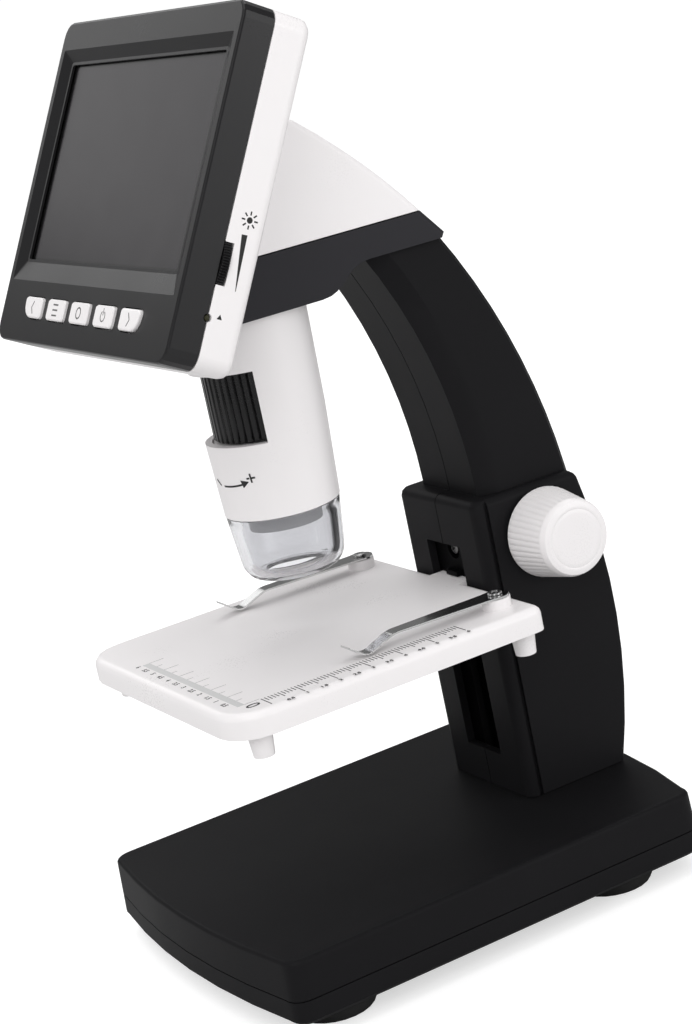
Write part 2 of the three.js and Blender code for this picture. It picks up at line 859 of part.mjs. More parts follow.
const plain = plainShell();
add(group, 'stand_right_shell', rightShell(plain), black);
add(group, 'stand_left_shell', leftShell(plain), black);
add(group, 'shell_screw_column', shellScrew(shellScrewPlaces.column), steel);
add(group, 'shell_screw_arm', shellScrew(shellScrewPlaces.arm), steel);
add(group, 'neck_bracket', neckBracket(), steel);
add(group, 'neck_screw_left', screwDown([-neckScrewX, neckScrewY], flangeTopZ), steel);
add(group, 'neck_screw_right', screwDown([neckScrewX, neckScrewY], flangeTopZ), steel);

// Stage, with the neck that reaches through the column's slot

const stageBackY = columnFrontY - stageBackGap;
const stageFrontY = stageBackY - stageDepth;
const stageUnderZ = stageTopZ - stageThick;
const bossX = stageHalfWidth - bossSideInset;
const bossY = stageBackY - bossBackInset;
const bossTopZ = stageTopZ + bossHeight;
const neckBottomZ = stageTopZ - neckHeight;
const sliderFrontY = slotWallBackY + runGap;
const sliderFlangeBackY = sliderFrontY + sliderThick;
const stageScrewPlace = [0, neckBottomZ + stageScrewRise];

function stageRing(z, inset) {
  const x = [-stageHalfWidth + inset, stageHalfWidth - inset];
  const front = stageFrontCorner - inset;
  const back = stageBackCorner - inset;
  return atHeight(roundedBox(x, [stageFrontY + inset, stageBackY - inset], [front, front, back, back]), z);
}

function stageLeg(place) {
  const profile = [
    [0, stageUnderZ - legHeight],
    [legTipRadius, stageUnderZ - legHeight],
    [legRadius, stageUnderZ],
    [legRadius, stageUnderZ + stageUnderDeep + stageWall / 2],
    [0, stageUnderZ + stageUnderDeep + stageWall / 2],
  ];
  return turned(profile, postSides, place);
}

function stagePlate() {
  const outer = loft([stageRing(stageUnderZ, 0), ...filletRings(stageRing, stageTopZ, stageRound)]);
  const under = loft([
    stageRing(stageUnderZ - cutOver, stageWall),
    stageRing(stageUnderZ + stageUnderDeep, stageWall),
  ]);
  const legX = stageHalfWidth - legSideInset;
  const legs = [-legX, legX].flatMap((x) => {
    return [stageFrontY + legFrontInset, stageBackY - legBackInset].map((y) => stageLeg([x, y]));
  });
  const bosses = [-bossX, bossX].map((x) => {
    return turned(rod(bossRadius, stageTopZ - stageRound, bossTopZ), roundSides, [x, bossY]);
  });
  const clipBore = rod(clipScrewRadius + seatGap, bossTopZ - clipScrewDeep, bossTopZ + cutOver);
  const bores = [-bossX, bossX].map((x) => turned(clipBore, boreSides, [x, bossY]));
  const neck = box(
    [-neckHalfWidth, neckHalfWidth],
    [stageBackY - stageWall, sliderFrontY - seatGap],
    [neckBottomZ, stageTopZ],
  );
  const neckBore = rod(shankHole, sliderFlangeBackY - screwLong, sliderFrontY);
  return cut(
    join(cut(outer, under), ...legs, ...bosses, neck),
    ...bores,
    turnedAlongY(neckBore, boreSides, stageScrewPlace),
  );
}

// Rack drive: a slider behind the column's front wall, with rack teeth on its back

const pitchRadius = (toothModule * pinionTeeth) / 2;
const pitchY = knobAxisY - pitchRadius;
const toothPitch = Math.PI * toothModule;
const toothHalf = (toothPitch - toothBacklash) / 4; // at the pitch line
const addendum = toothModule * addendumShare;
const dedendum = toothModule * dedendumShare;
const rackBottomZ = knobAxisZ - stageLiftUp - rackMargin;
const rackTopZ = knobAxisZ + stageLiftDown + rackMargin;
const sliderBlockBackY = rackBarFrontY;

// Side outline of the rack bar: a tooth gap lies opposite the pinion's axis.
function rackOutline() {
  const tipHalf = toothHalf - addendum * pressureSlopeShare;
  const rootHalf = toothHalf + dedendum * pressureSlopeShare;
  const points = [[sliderBlockBackY - runGap, rackTopZ], [sliderBlockBackY - runGap, rackBottomZ]];
  points.push([pitchY - dedendum, rackBottomZ]);
  const first = Math.ceil((rackBottomZ + rootHalf - knobAxisZ) / toothPitch - 1 / 2);
  for (let tooth = first; knobAxisZ + (tooth + 1 / 2) * toothPitch + rootHalf < rackTopZ; tooth += 1) {
    const z = knobAxisZ + (tooth + 1 / 2) * toothPitch;
    points.push([pitchY - dedendum, z - rootHalf], [pitchY + addendum, z - tipHalf]);
    points.push([pitchY + addendum, z + tipHalf], [pitchY - dedendum, z + rootHalf]);
  }
  points.push([pitchY - dedendum, rackTopZ]);
  return shapeOf(points);
}

function rackSlider() {
  const flange = box(
    [-sliderHalfWidth, sliderHalfWidth],
    [sliderFrontY, sliderFlangeBackY],
    [sliderBottom, sliderTop],
  );
  const block = box(
    [-sliderBlockHalf, sliderBlockHalf],
    [sliderFlangeBackY - sliderThick / 2, sliderBlockBackY],
    [sliderBottom, sliderTop],
  );
  const nose = box(
    [-sliderNoseHalf, sliderNoseHalf],
    [columnFrontY + sliderNoseInset, sliderFlangeBackY],
    [stageTopZ + seatGap, stageTopZ + sliderNoseRise],
  );
  const rack = sideProfile(rackOutline(), [-rackHalfWidth, rackHalfWidth]);
  const frontHeadY = sliderFrontY + screwHeadHigh;
  const frontBore = rod(shankHole, frontHeadY - cutOver, frontHeadY + screwLong + seatGap);
  const frontHeadSeat = rod(headHole, sliderFrontY - cutOver, frontHeadY);
  const stageBore = rod(shankHole, sliderFrontY - cutOver, sliderBlockBackY + cutOver);
  const stageHeadSeat = rod(headHole, sliderFlangeBackY, sliderBlockBackY + cutOver);
  return cut(
    join(flange, block, nose, rack),
    turnedAlongY(frontBore, boreSides, [0, sliderScrewZ]),
    turnedAlongY(frontHeadSeat, boreSides, [0, sliderScrewZ]),
    turnedAlongY(stageBore, boreSides, stageScrewPlace),
    turnedAlongY(stageHeadSeat, boreSides, stageScrewPlace),
  );
}

// A screw along Y: its head starts at headY and its shank points to the back or the front.
function screwAlongY(place, headY, side) {
  const head = [headY - side * screwHeadHigh, headY].sort((a, b) => a - b);
  const shank = [headY - (side * screwHeadHigh) / 2, headY + side * screwLong].sort((a, b) => a - b);
  return join(
    turnedAlongY(rod(screwHeadRadius, ...head), headSides, place),
    turnedAlongY(rod(screwRadius, ...shank), shankSides, place),
  );
}

// Places a body that was built about the Z axis on the line along X at y, z.
function layAlongX(body, [y, z]) {
  return solid(geometryOf(body).rotateY(Math.PI / 2).translate(0, y, z));
}

function pinion() {
  const along = [
    [pitchRadius - dedendum, toothHalf + dedendum * pressureSlopeShare],
    [pitchRadius, toothHalf],
    [pitchRadius + addendum, toothHalf - addendum * pressureSlopeShare],
  ];
  const points = [];
  for (let tooth = 0; tooth < pinionTeeth; tooth += 1) {
    const middle = Math.PI + (2 * Math.PI * tooth) / pinionTeeth;
    for (const [radius, half] of along) {
      const angle = middle - half / radius;
      points.push([radius * Math.cos(angle), radius * Math.sin(angle)]);
    }
    for (const [radius, half] of [...along].reverse()) {
      const angle = middle + half / radius;
      points.push([radius * Math.cos(angle), radius * Math.sin(angle)]);
    }
  }
  const placed = points.map(([y, z]) => [knobAxisY + y, knobAxisZ + z]);
  const blank = sideProfile(shapeOf(placed), [-pinionHalfLength, pinionHalfLength]);
  const bore = rod(shaftRadius + seatGap, -pinionHalfLength - cutOver, pinionHalfLength + cutOver);
  return cut(blank, turnedAlongX(bore, boreSides, shaftLine));
}

const knobRearX = columnHalfWidth + knobGap;
const shaftEndX = knobRearX + knobSocketDeep - seatGap;

function shaft() {
  return turnedAlongX(rod(shaftRadius, -wallInnerX + seatGap, shaftEndX), roundSides, shaftLine);
}

function bush() {
  const flangeX = wallInnerX - seatGap;
  const profile = [
    [shaftRadius + seatGap, flangeX - bushFlangeThick],
    [bushFlangeRadius, flangeX - bushFlangeThick],
    [bushFlangeRadius, flangeX],
    [bushRadius, flangeX],
    [bushRadius, columnHalfWidth - seatGap],
    [shaftRadius + seatGap, columnHalfWidth - seatGap],
    [shaftRadius + seatGap, flangeX - bushFlangeThick],
  ];
  return turnedAlongX(profile, roundSides, shaftLine);
}

// Ring of a ribbed wheel at a height: every second point is sunk by depth.
function ribRing(radius, z, ribs, depth) {
  return Array.from({ length: 2 * ribs }, (unused, i) => {
    const angle = (Math.PI * i) / ribs;
    const r = radius - (i % 2) * depth;
    return [r * Math.cos(angle), r * Math.sin(angle), z];
  });
}

function knob() {
  const ribEnd = knobLength - knobRim;
  const rimMiddle = knobFaceRadius + (knobFrontRadius - knobFaceRadius) * knobRimShare;
  const body = loft([
    ribRing(knobRearRadius - knobRibDepth, 0, knobRibs, knobRibDepth),
    ribRing(knobRearRadius, knobRibDepth, knobRibs, knobRibDepth),
    ribRing(knobFrontRadius, ribEnd, knobRibs, knobRibDepth),
    ribRing(knobFrontRadius, ribEnd + knobRibDepth, knobRibs, 0),
    ribRing(rimMiddle, knobLength - knobRibDepth, knobRibs, 0),
    ribRing(knobFaceRadius, knobLength, knobRibs, 0),
  ]);
  const bored = cut(body, turned(rod(shaftRadius + seatGap, -cutOver, knobSocketDeep), roundSides));
  return solid(geometryOf(layAlongX(bored, shaftLine)).translate(knobRearX, 0, 0));
}

// Spring clip: a strip from its screw to a bend, down to the stage and up again at the tail.
function clip(x) {
  const low = bossTopZ + clipLift;
  const bendY = bossY - clipReach;
  const bendZ = low + clipBendRise;
  const tipY = bendY - clipTipRun;
  const tipZ = stageTopZ + clipLift;
  const tailY = tipY - clipTailRun;
  const tailZ = tipZ + clipTailRise;
  const under = [[bossY, low], [bendY, bendZ], [tipY, tipZ], [tailY, tailZ]];
  const over = under.map(([y, z]) => [y, z + clipThick]);
  const strip = sideProfile(shapeOf([...under, ...over.reverse()]), [x - clipWidth / 2, x + clipWidth / 2]);
  const eye = turned(rod(bossRadius, low, low + clipThick), roundSides, [x, bossY]);
  const hole = rod(clipScrewRadius + seatGap, low - cutOver, low + clipThick + cutOver);
  return cut(join(strip, eye), turned(hole, boreSides, [x, bossY]));
}

function clipScrew(x) {
  const headZ = bossTopZ + clipThick + 2 * clipLift;
  const head = turned(rod(clipScrewHeadRadius, headZ, headZ + clipScrewHeadHigh), headSides, [x, bossY]);
  const shank = rod(clipScrewRadius, bossTopZ - clipScrewDeep + seatGap, headZ);
  return join(head, turned(shank, shankSides, [x, bossY]));
}

add(group, 'stage_plate', stagePlate(), white);
add(group, 'rack_slider', rackSlider(), black);
add(group, 'slider_screw', screwAlongY([0, sliderScrewZ], sliderFrontY + screwHeadHigh, 1), steel);
add(group, 'stage_screw', screwAlongY(stageScrewPlace, sliderFlangeBackY, -1), steel);
add(group, 'pinion', pinion(), brass);
add(group, 'pinion_shaft', shaft(), steel);
add(group, 'shaft_bush', bush(), brass);
add(group, 'height_knob', knob(), white);
for (const [side, x] of [['left', -bossX], ['right', bossX]]) {
  add(group, `clip_${side}`, clip(x), steel);
  add(group, `clip_screw_${side}`, clipScrew(x), steel);
}

// Display frame: local x runs right, y up the face and z out of the face

const display = new THREE.Group();
display.position.set(0, displayY, displayZ);
display.rotation.x = THREE.MathUtils.degToRad(90 - displayLean);
display.updateMatrix();
group.add(display);

const lean = THREE.MathUtils.degToRad(displayLean);

// A body built in the display's frame, placed in the microscope's frame.
function fromDisplay(body) {
  return solid(geometryOf(body).applyMatrix4(display.matrix));
}

// Y of the plane behind the display at a height.
function displayBackY(z) {
  const height = z - displayZ + rearDepth * Math.sin(lean);
  return displayY + rearDepth * Math.cos(lean) + height * Math.tan(lean);
}

// Head: a black housing under a white cover

const headFrontGap = seatGap / Math.cos(lean);
const headBackY = neckScrewY + headBackPast;
const headSlopeFootY = headBackY - headSlopeFootInset;
const cableY = tubeAxisY + cableFromAxis;
const tubeTopZ = headUnderZ - seatGap;

// The space in front of the head: the display with its gap.
function beforeHead() {
  const across = [-displayHalfWidth, displayHalfWidth];
  return fromDisplay(box(across, [displayBottom, displayTop], [-rearDepth - seatGap, rearDepth]));
}

// Points of a line that bulges out to its right, from start up to but without end.
function bowed(start, end, bulge, steps) {
  const [dx, dy] = [end[0] - start[0], end[1] - start[1]];
  const long = Math.hypot(dx, dy);
  return Array.from({ length: steps }, (unused, i) => {
    const share = i / steps;
    const out = (4 * bulge * share * (1 - share)) / long;
    return [start[0] + dx * share + dy * out, start[1] + dy * share - dx * out];
  });
}

// Side outline of the housing drawn in by inset, from far below up to topZ.
// Its front reaches forward of the display's back by a given length.
function housingOutline(inset, topZ, forward = 0) {
  const frontInset = headFrontGap + inset / Math.cos(lean) - forward;
  const lowZ = headUnderZ - headEdge - cutOver;
  return shapeOf([
    [displayBackY(lowZ) + frontInset, lowZ],
    [headBackY - headBackLip - inset, lowZ],
    [headBackY - headBackLip - inset, headNeckZ],
    [headBackY - inset, headNeckZ + headBackRise],
    [headSlopeFootY - inset, headSplitZ],
    [headSlopeFootY - inset - (topZ - headSplitZ), topZ],
    [displayBackY(topZ) + frontInset, topZ],
  ]);
}

function headHousing() {
  const topZ = headSplitZ - seamGap / 2;
  const outline = housingOutline(0, headSplitZ + headEdge + cutOver, headEdge + cutOver);
  const outside = cut(
    sideProfile(outline, [-headHalfWidth, headHalfWidth], headEdge),
    box([-baseHalf, baseHalf], [-baseDepth, baseDepth], [topZ, headRidgeZ]),
    beforeHead(),
  );
  const inside = sideProfile(
    housingOutline(headWall, headSplitZ + cutOver),
    [-headHalfWidth + headWall, headHalfWidth - headWall],
  );
  const above = sideProfile(undersideProfile(0, headRidgeZ), [-baseHalf, baseHalf]);
  const aboveFloor = sideProfile(undersideProfile(-headWall, headRidgeZ), [-baseHalf, baseHalf]);
  const shell = cut(outside.intersect(above), inside.intersect(aboveFloor));
  const frontBosses = [-displayScrewX, displayScrewX].map((x) => {
    const boss = rod(postRadius, -rearDepth - screwLong, -rearDepth - seatGap - headWall / 2);
    return fromDisplay(turned(boss, postSides, [x, displayScrewRow]));
  });
  const frontBores = [-displayScrewX, displayScrewX].map((x) => {
    const low = -rearDepth - screwLong + postWall;
    return fromDisplay(turned(rod(shankHole, low, -rearDepth + cutOver), boreSides, [x, displayScrewRow]));
  });
  const tubeScrewHole = rod(shankHole, headUnderZ - cutOver, headNeckZ);
  const floorHoles = [
    ...tubeScrewPlaces.map((place) => turned(tubeScrewHole, boreSides, place)),
    ...[-neckScrewX, neckScrewX].map((x) => {
      return turned(rod(shankHole, headNeckZ - cutOver, neckFloorZ + cutOver), boreSides, [x, neckScrewY]);
    }),
    box(
      [-bracketHalfThick - seatGap, bracketHalfThick + seatGap],
      [armMidAt(neckFloorZ) - bracketHalfDepth - seatGap, armMidAt(headNeckZ) + bracketHalfDepth + seatGap],
      [headNeckZ - cutOver, neckFloorZ + cutOver],
    ),
    box(
      [-cableHalfWidth - seatGap, cableHalfWidth + seatGap],
      [cableY - cableHoleHalf, cableY + cableHoleHalf],
      [headUnderZ - cutOver, headUnderZ + headWall + cutOver],
    ),
  ];
  return cut(join(shell, ...frontBosses), ...frontBores, ...floorHoles);
}

const tubeScrewPlaces = [-tubeScrewX, tubeScrewX].map((x) => [x, tubeAxisY]);

// Side outline of the cover drawn in by inset, from a height below the seam.
function coverOutline(inset, lowZ, forward = 0) {
  const frontInset = headFrontGap + inset / Math.cos(lean) - forward;
  const top = headRidgeZ - inset;
  const ridge = [headRidgeY - headRidgeRound * ridgeShare, top - headRidgeRound];
  const ridgeArc = arc(ridge, headRidgeRound, 45, 90, 5);
  const foot = headSlopeFootY - inset / Math.SQRT1_2;
  return shapeOf([
    [displayBackY(lowZ) + frontInset, lowZ],
    [foot + headSplitZ - lowZ, lowZ],
    ...bowed([foot, headSplitZ], ridgeArc[0], headSlopeBulge, 6),
    ...ridgeArc,
    [displayBackY(top) + frontInset, top],
  ]);
}

function headCover() {
  const low = headSplitZ + seamGap / 2;
  const outline = coverOutline(0, headSplitZ - headEdge - cutOver, headEdge + cutOver);
  const outside = cut(
    sideProfile(outline, [-headHalfWidth, headHalfWidth], headEdge),
    box([-baseHalf, baseHalf], [-baseDepth, baseDepth], [headUnderZ, low]),
    beforeHead(),
  );
  const inside = sideProfile(
    coverOutline(headWall, headSplitZ - cutOver),
    [-headHalfWidth + headWall, headHalfWidth - headWall],
  );
  const cableHole = fromDisplay(box(
    [-cableHalfWidth - cableHoleHalf, cableHalfWidth + cableHoleHalf],
    [cableRow - cableHoleHalf, cableRow + cableHoleHalf],
    [-rearDepth - headWall - cutOver, -rearDepth + cutOver],
  ));
  return cut(outside, inside, cableHole);
}

add(group, 'head_housing', headHousing(), black);
add(group, 'head_cover', headCover(), white);
add(group, 'tube_screw_left', screwDown(tubeScrewPlaces[0], headUnderZ + headWall), steel);
add(group, 'tube_screw_right', screwDown(tubeScrewPlaces[1], headUnderZ + headWall), steel);

// Tube with the focus wheel, lens barrel, lamp ring and clear cap

const tubePlace = [0, tubeAxisY];
const wheelBottomZ = windowBottomZ + runGap / 2;
const wheelTopZ = windowTopZ - runGap / 2;
const shelfBottomZ = wheelTopZ + runGap;
const retainerTopZ = wheelBottomZ - runGap;
const capTopZ = tubeFootZ - seatGap;
const capTopRadius = tubeFootRadius - capStep;
const spigotRadius = tubeFootRadius - tubeWall - seatGap;
const spigotBore = spigotRadius - capSpigotWall;
const spigotTopZ = capTopZ + capSpigotHigh;
const ledBoardZ = spigotTopZ + seatGap;
const sensorZ = ledgeZ + ledgeThick + seatGap;

// Outer radius of the tube at a height.
function tubeRadiusAt(z) {
  const [low, high, from, to] = z < tubeWaistZ
    ? [tubeFootZ, tubeWaistZ, tubeFootRadius, tubeWaistRadius]
    : [tubeWaistZ, tubeTopZ, tubeWaistRadius, tubeTopRadius];
  return from + ((to - from) * (z - low)) / (high - low);
}

function tubeBody() {
  const levels = [tubeFootZ, tubeWaistZ, tubeTopZ];
  const outside = levels.map((z) => [tubeRadiusAt(z), z]);
  const inside = levels.map((z) => [tubeRadiusAt(z) - tubeWall, z]).reverse();
  const wall = turned([...outside, ...inside, outside[0]], tubeSides, tubePlace);
  const shelfOuter = tubeRadiusAt(shelfBottomZ) - tubeWall / 2;
  const shelf = tube(wheelBore, shelfOuter, shelfBottomZ, shelfBottomZ + shelfThick);
  const ledge = tube(ledgeBore, tubeRadiusAt(ledgeZ) - tubeWall / 2, ledgeZ, ledgeZ + ledgeThick);
  const boss = rod(tubeBossRadius, tubeBossBottomZ, tubeTopZ);
  const bosses = tubeScrewPlaces.map((place) => turned(boss, postSides, place));
  const bores = tubeScrewPlaces.map((place) => {
    const low = headUnderZ + headWall - screwLong - seatGap;
    return turned(rod(shankHole, low, tubeTopZ + cutOver), boreSides, place);
  });
  const from = -90 - windowHalfAngle;
  const to = -90 + windowHalfAngle;
  const windowOutline = [
    ...arc(tubePlace, tubeTopRadius + cutOver, from, to, 8),
    ...arc(tubePlace, wheelBore, to, from, 6),
  ];
  const opening = planProfile(shapeOf(windowOutline), [windowBottomZ, windowTopZ]);
  const rings = [shelf, ledge].map((ring) => turned(ring, turnedSides, tubePlace));
  return cut(join(wall, ...rings, ...bosses), opening, ...bores);
}

function focusWheel() {
  const body = loft([wheelBottomZ, wheelTopZ].map((z) => ribRing(wheelRadius, z, wheelRibs, wheelRibDeep)));
  const bored = cut(body, turned(rod(wheelBore, wheelBottomZ - cutOver, wheelTopZ + cutOver), turnedSides));
  return solid(geometryOf(bored).translate(0, tubeAxisY, 0));
}

function wheelRetainer() {
  const outer = tubeRadiusAt(retainerTopZ - shelfThick) - tubeWall - seatGap;
  return turned(tube(wheelBore, outer, retainerTopZ - shelfThick, retainerTopZ), turnedSides, tubePlace);
}

function lensBarrel() {
  const profile = [
    [barrelBore - lensLip, barrelBottomZ],
    [barrelRadius, barrelBottomZ],
    [barrelRadius, barrelTopZ],
    [barrelBore, barrelTopZ],
    [barrelBore, barrelBottomZ + lensLipHigh],
    [barrelBore - lensLip, barrelBottomZ + lensLipHigh],
    [barrelBore - lensLip, barrelBottomZ],
  ];
  return turned(profile, turnedSides, tubePlace);
}

// Both faces bulge, so the lens sits on the lip by its rim.
function objectiveLens() {
  const rimLow = barrelBottomZ + lensLipHigh + seatGap;
  const rimHigh = rimLow + lensThick - 2 * lensBulge;
  const face = (z, rise) => [1, 2 / 3, 1 / 3, 0].map((share) => {
    return [lensRadius * share, z + rise * (1 - share ** 2)];
  });
  const profile = [...face(rimLow, -lensBulge).reverse(), ...face(rimHigh, lensBulge)];
  return turned(profile, roundSides, tubePlace);
}

function ledRing() {
  const boardRing = tube(ledRingInner, spigotRadius, ledBoardZ, ledBoardZ + ledRingThick);
  const ringRadius = (ledRingInner + spigotBore) / 2;
  const lamps = Array.from({ length: ledCount }, (unused, i) => {
    const angle = (2 * Math.PI * i) / ledCount;
    const place = [ringRadius * Math.cos(angle), tubeAxisY + ringRadius * Math.sin(angle)];
    return turned(rod(ledRadius, ledBoardZ - ledHigh, ledBoardZ + ledRingThick / 2), shankSides, place);
  });
  return join(turned(boardRing, turnedSides, tubePlace), ...lamps);
}

function clearCap() {
  const profile = [
    [capHoleRadius, capBottomZ],
    [capBevelRadius, capBottomZ],
    [capFootRadius, capBevelZ],
    [capTopRadius, capTopZ],
    [spigotRadius, capTopZ],
    [spigotRadius, spigotTopZ],
    [spigotBore, spigotTopZ],
    [capFootRadius - capWall, capBevelZ],
    [capBevelRadius - capWall / 2, capBottomZ + capWall],
    [capHoleRadius, capBottomZ + capWall],
    [capHoleRadius, capBottomZ],
  ];
  return turned(profile, tubeSides, tubePlace);
}

function sensorBoard() {
  const around = (half) => [tubeAxisY - half, tubeAxisY + half];
  const board = box([-sensorHalf, sensorHalf], around(sensorHalf), [sensorZ, sensorZ + boardThick]);
  const chip = box(
    [-sensorChipHalf, sensorChipHalf],
    around(sensorChipHalf),
    [sensorZ - sensorChipHigh, sensorZ + boardThick / 2],
  );
  return join(board, chip);
}

// Ribbon from the sensor board up through the head and into the display.
function flatCable() {
  const mainBack = mainBoardDepth + boardThick + seatGap + cableThick / 2;
  const inDisplay = (row, depth) => {
    const point = new THREE.Vector3(0, row, -depth).applyMatrix4(display.matrix);
    return [point.y, point.z];
  };
  const points = [
    [cableY, sensorZ + boardThick + seatGap],
    [cableY, headUnderZ],
    [cableY, headNeckZ + headWall],
    inDisplay(cableRow, rearDepth + headWall + 2 * cableHoleHalf),
    inDisplay(cableRow, rearDepth),
    inDisplay(cableRow + cableHoleHalf / 2, (rearDepth + mainBack) / 2),
    inDisplay(mainBoardBottom, mainBack),
    inDisplay(mainBoardBottom + cableHoleHalf, mainBack),
  ];
  const stops = points.map(([y, z]) => new THREE.Vector3(0, y, z));
  const route = new THREE.CatmullRomCurve3(stops, false, 'centripetal');
  const steps = 24;
  const edges = [1, -1].map((side) => Array.from({ length: steps + 1 }, (unused, i) => {
    const point = route.getPoint(i / steps);
    const along = route.getTangent(i / steps);
    return [point.y - (side * along.z * cableThick) / 2, point.z + (side * along.y * cableThick) / 2];
  }));
  return sideProfile(shapeOf([...edges[0], ...edges[1].reverse()]), [-cableHalfWidth, cableHalfWidth]);
}

add(group, 'tube_body', tubeBody(), white);
add(group, 'focus_wheel', focusWheel(), black);
add(group, 'wheel_retainer', wheelRetainer(), white);
add(group, 'lens_barrel', lensBarrel(), black);
add(group, 'objective_lens', objectiveLens(), glass, 0.6);
add(group, 'led_ring', ledRing(), boardGreen);
add(group, 'clear_cap', clearCap(), clear, 0.4);
add(group, 'sensor_board', sensorBoard(), boardGreen);
add(group, 'flat_cable', flatCable(), white);

// Display: bezel, rear shell and what they hold

const bezelFront = lcdDepth - seatGap;
const rearFrontZ = -bezelDepth - seamGap;
const dimmerFront = -rearFrontZ; // depth of the wheel's front side
const resetDepth = bezelDepth + seamGap / 2; // the pin sits on the seam
const rearInnerZ = -rearDepth + bezelWall;
const caseScrewPlaces = [[-caseScrewX, caseScrewRow], [caseScrewX, caseScrewRow]];
const caseHeadZ = -rearDepth + caseScrewSunk + screwHeadHigh;
const buttonNames = ['left', 'menu', 'enter', 'power', 'right'];
const buttonPitch = buttonWidth + buttonSpace;
const boardPostX = buttonX(buttonNames.length - 1) + buttonWidth / 2 + boardPostSpace;
const buttonBoardHalf = boardPostX + boardPostMargin;

// X of a button's middle.
function buttonX(index) {
  return (index - (buttonNames.length - 1) / 2) * buttonPitch;
}

function faceRing(z, inset) {
  const x = [-displayHalfWidth + inset, displayHalfWidth - inset];
  return atHeight(roundedBox(x, [displayBottom + inset, displayTop - inset], displayCorner - inset, 4), z);
}

// Rectangle of the glass opening, grown by a margin.
function glassBox(margin) {
  return [[-lcdHalfWidth - margin, lcdHalfWidth + margin], [lcdBottom - margin, lcdTop + margin]];
}

// The sloped recess round the glass.
function recess() {
  const round = lcdRim;
  const inner = roundedBox(...glassBox(lcdRim), round, 3);
  const outer = roundedBox([-recessHalfWidth, recessHalfWidth], [recessBottom, recessTop], bezelEdge, 3);
  const rise = cutOver / recessDepth;
  const grown = outer.map(([x, y], i) => [x + (x - inner[i][0]) * rise, y + (y - inner[i][1]) * rise]);
  return loft([atHeight(inner, -recessDepth), atHeight(outer, 0), atHeight(grown, cutOver)]);
}

// Outline of a button, grown by a gap; the end buttons have one large corner.
function buttonOutline(index, grow) {
  const middle = buttonX(index);
  const x = [middle - buttonWidth / 2 - grow, middle + buttonWidth / 2 + grow];
  const y = [buttonRow - buttonHeight / 2 - grow, buttonRow + buttonHeight / 2 + grow];
  const small = buttonCorner + grow;
  const large = buttonOuterCorner + grow;
  const last = buttonNames.length - 1;
  return roundedBox(x, y, [index === 0 ? large : small, index === last ? large : small, small, small]);
}

function bezel() {
  const outer = loft([faceRing(-bezelDepth, 0), ...filletRings(faceRing, 0, bezelEdge)]);
  const cavity = loft([faceRing(-bezelDepth - cutOver, bezelWall), faceRing(-bezelFront, bezelWall)]);
  const opening = shapeOf(roundedBox(...glassBox(0), lcdRim, 3));
  const buttonHoles = buttonNames.map((name, index) => {
    return planProfile(shapeOf(buttonOutline(index, buttonGap)), [-bezelFront - cutOver, cutOver]);
  });
  const boardPost = rod(boardPostRadius, -buttonBoardDepth + seatGap, -bezelFront / 2);
  const boardPosts = [-boardPostX, boardPostX].map((x) => turned(boardPost, postSides, [x, buttonRow]));
  const postEndZ = caseHeadZ + postWall + seatGap;
  const screwPost = rod(postRadius, postEndZ, -bezelFront / 2);
  const screwPosts = caseScrewPlaces.map((place) => turned(screwPost, postSides, place));
  const bores = caseScrewPlaces.map((place) => {
    return turned(rod(shankHole, postEndZ - cutOver, caseHeadZ + screwLong + seatGap), boreSides, place);
  });
  const through = planProfile(opening, [-bezelFront - cutOver, cutOver]);
  const shell = cut(outer, cavity, recess(), through, ...buttonHoles, resetHole());
  return cut(join(shell, ...boardPosts, ...screwPosts), ...bores);
}

function rearShell() {
  const fromBack = (depth, inset) => faceRing(-depth, inset);
  const outer = loft([faceRing(rearFrontZ, 0), ...filletRings(fromBack, rearDepth, rearEdge)]);
  const cavity = loft([faceRing(rearFrontZ + cutOver, bezelWall), faceRing(rearInnerZ, bezelWall)]);
  const boardPosts = [-mainPostX, mainPostX].flatMap((x) => [-mainPostRow, mainPostRow].map((y) => {
    const top = -mainBoardDepth - boardThick - seatGap;
    return turned(rod(mainPostRadius, -rearDepth + bezelWall / 2, top), postSides, [x, y]);
  }));
  const screwPosts = caseScrewPlaces.map((place) => {
    return turned(rod(headPostRadius, -rearDepth + bezelWall / 2, caseHeadZ + postWall), postSides, place);
  });
  const screwBores = caseScrewPlaces.flatMap((place) => [
    turned(rod(shankHole, -rearDepth, caseHeadZ + postWall + cutOver), boreSides, place),
    turned(rod(headHole, -rearDepth - cutOver, caseHeadZ), headSides, place),
  ]);
  const headScrewHole = rod(shankHole, -rearDepth - cutOver, rearInnerZ + cutOver);
  const headScrewHoles = [-displayScrewX, displayScrewX].map((x) => {
    return turned(headScrewHole, boreSides, [x, displayScrewRow]);
  });
  const cableHole = box(
    [-cableHalfWidth - seatGap, cableHalfWidth + seatGap],
    [cableRow - cableHoleHalf, cableRow + cableHoleHalf],
    [-rearDepth - cutOver, rearInnerZ + cutOver],
  );
  const dimmerSlot = rod(dimmerRadius + seatGap, -dimmerFront - dimmerThick - seatGap, -bezelDepth + cutOver);
  const usbHole = box(
    [-displayHalfWidth - cutOver, -displayHalfWidth + bezelWall + cutOver],
    [usbRow - usbHalfWidth - seatGap, usbRow + usbHalfWidth + seatGap],
    [usbBackZ - seatGap, usbBackZ + usbHigh + seatGap],
  );
  return cut(
    join(cut(outer, cavity), ...boardPosts, ...screwPosts),
    ...screwBores,
    ...headScrewHoles,
    cableHole,
    turned(dimmerSlot, slotSides, dimmerPlace),
    resetHole(),
    usbHole,
  );
}

// Lays a body built about Z, with its outer face at zero, in the reset pin's place on the right side.
function layInSide(body) {
  return solid(geometryOf(body).rotateY(Math.PI / 2).translate(displayHalfWidth, resetRow, -resetDepth));
}

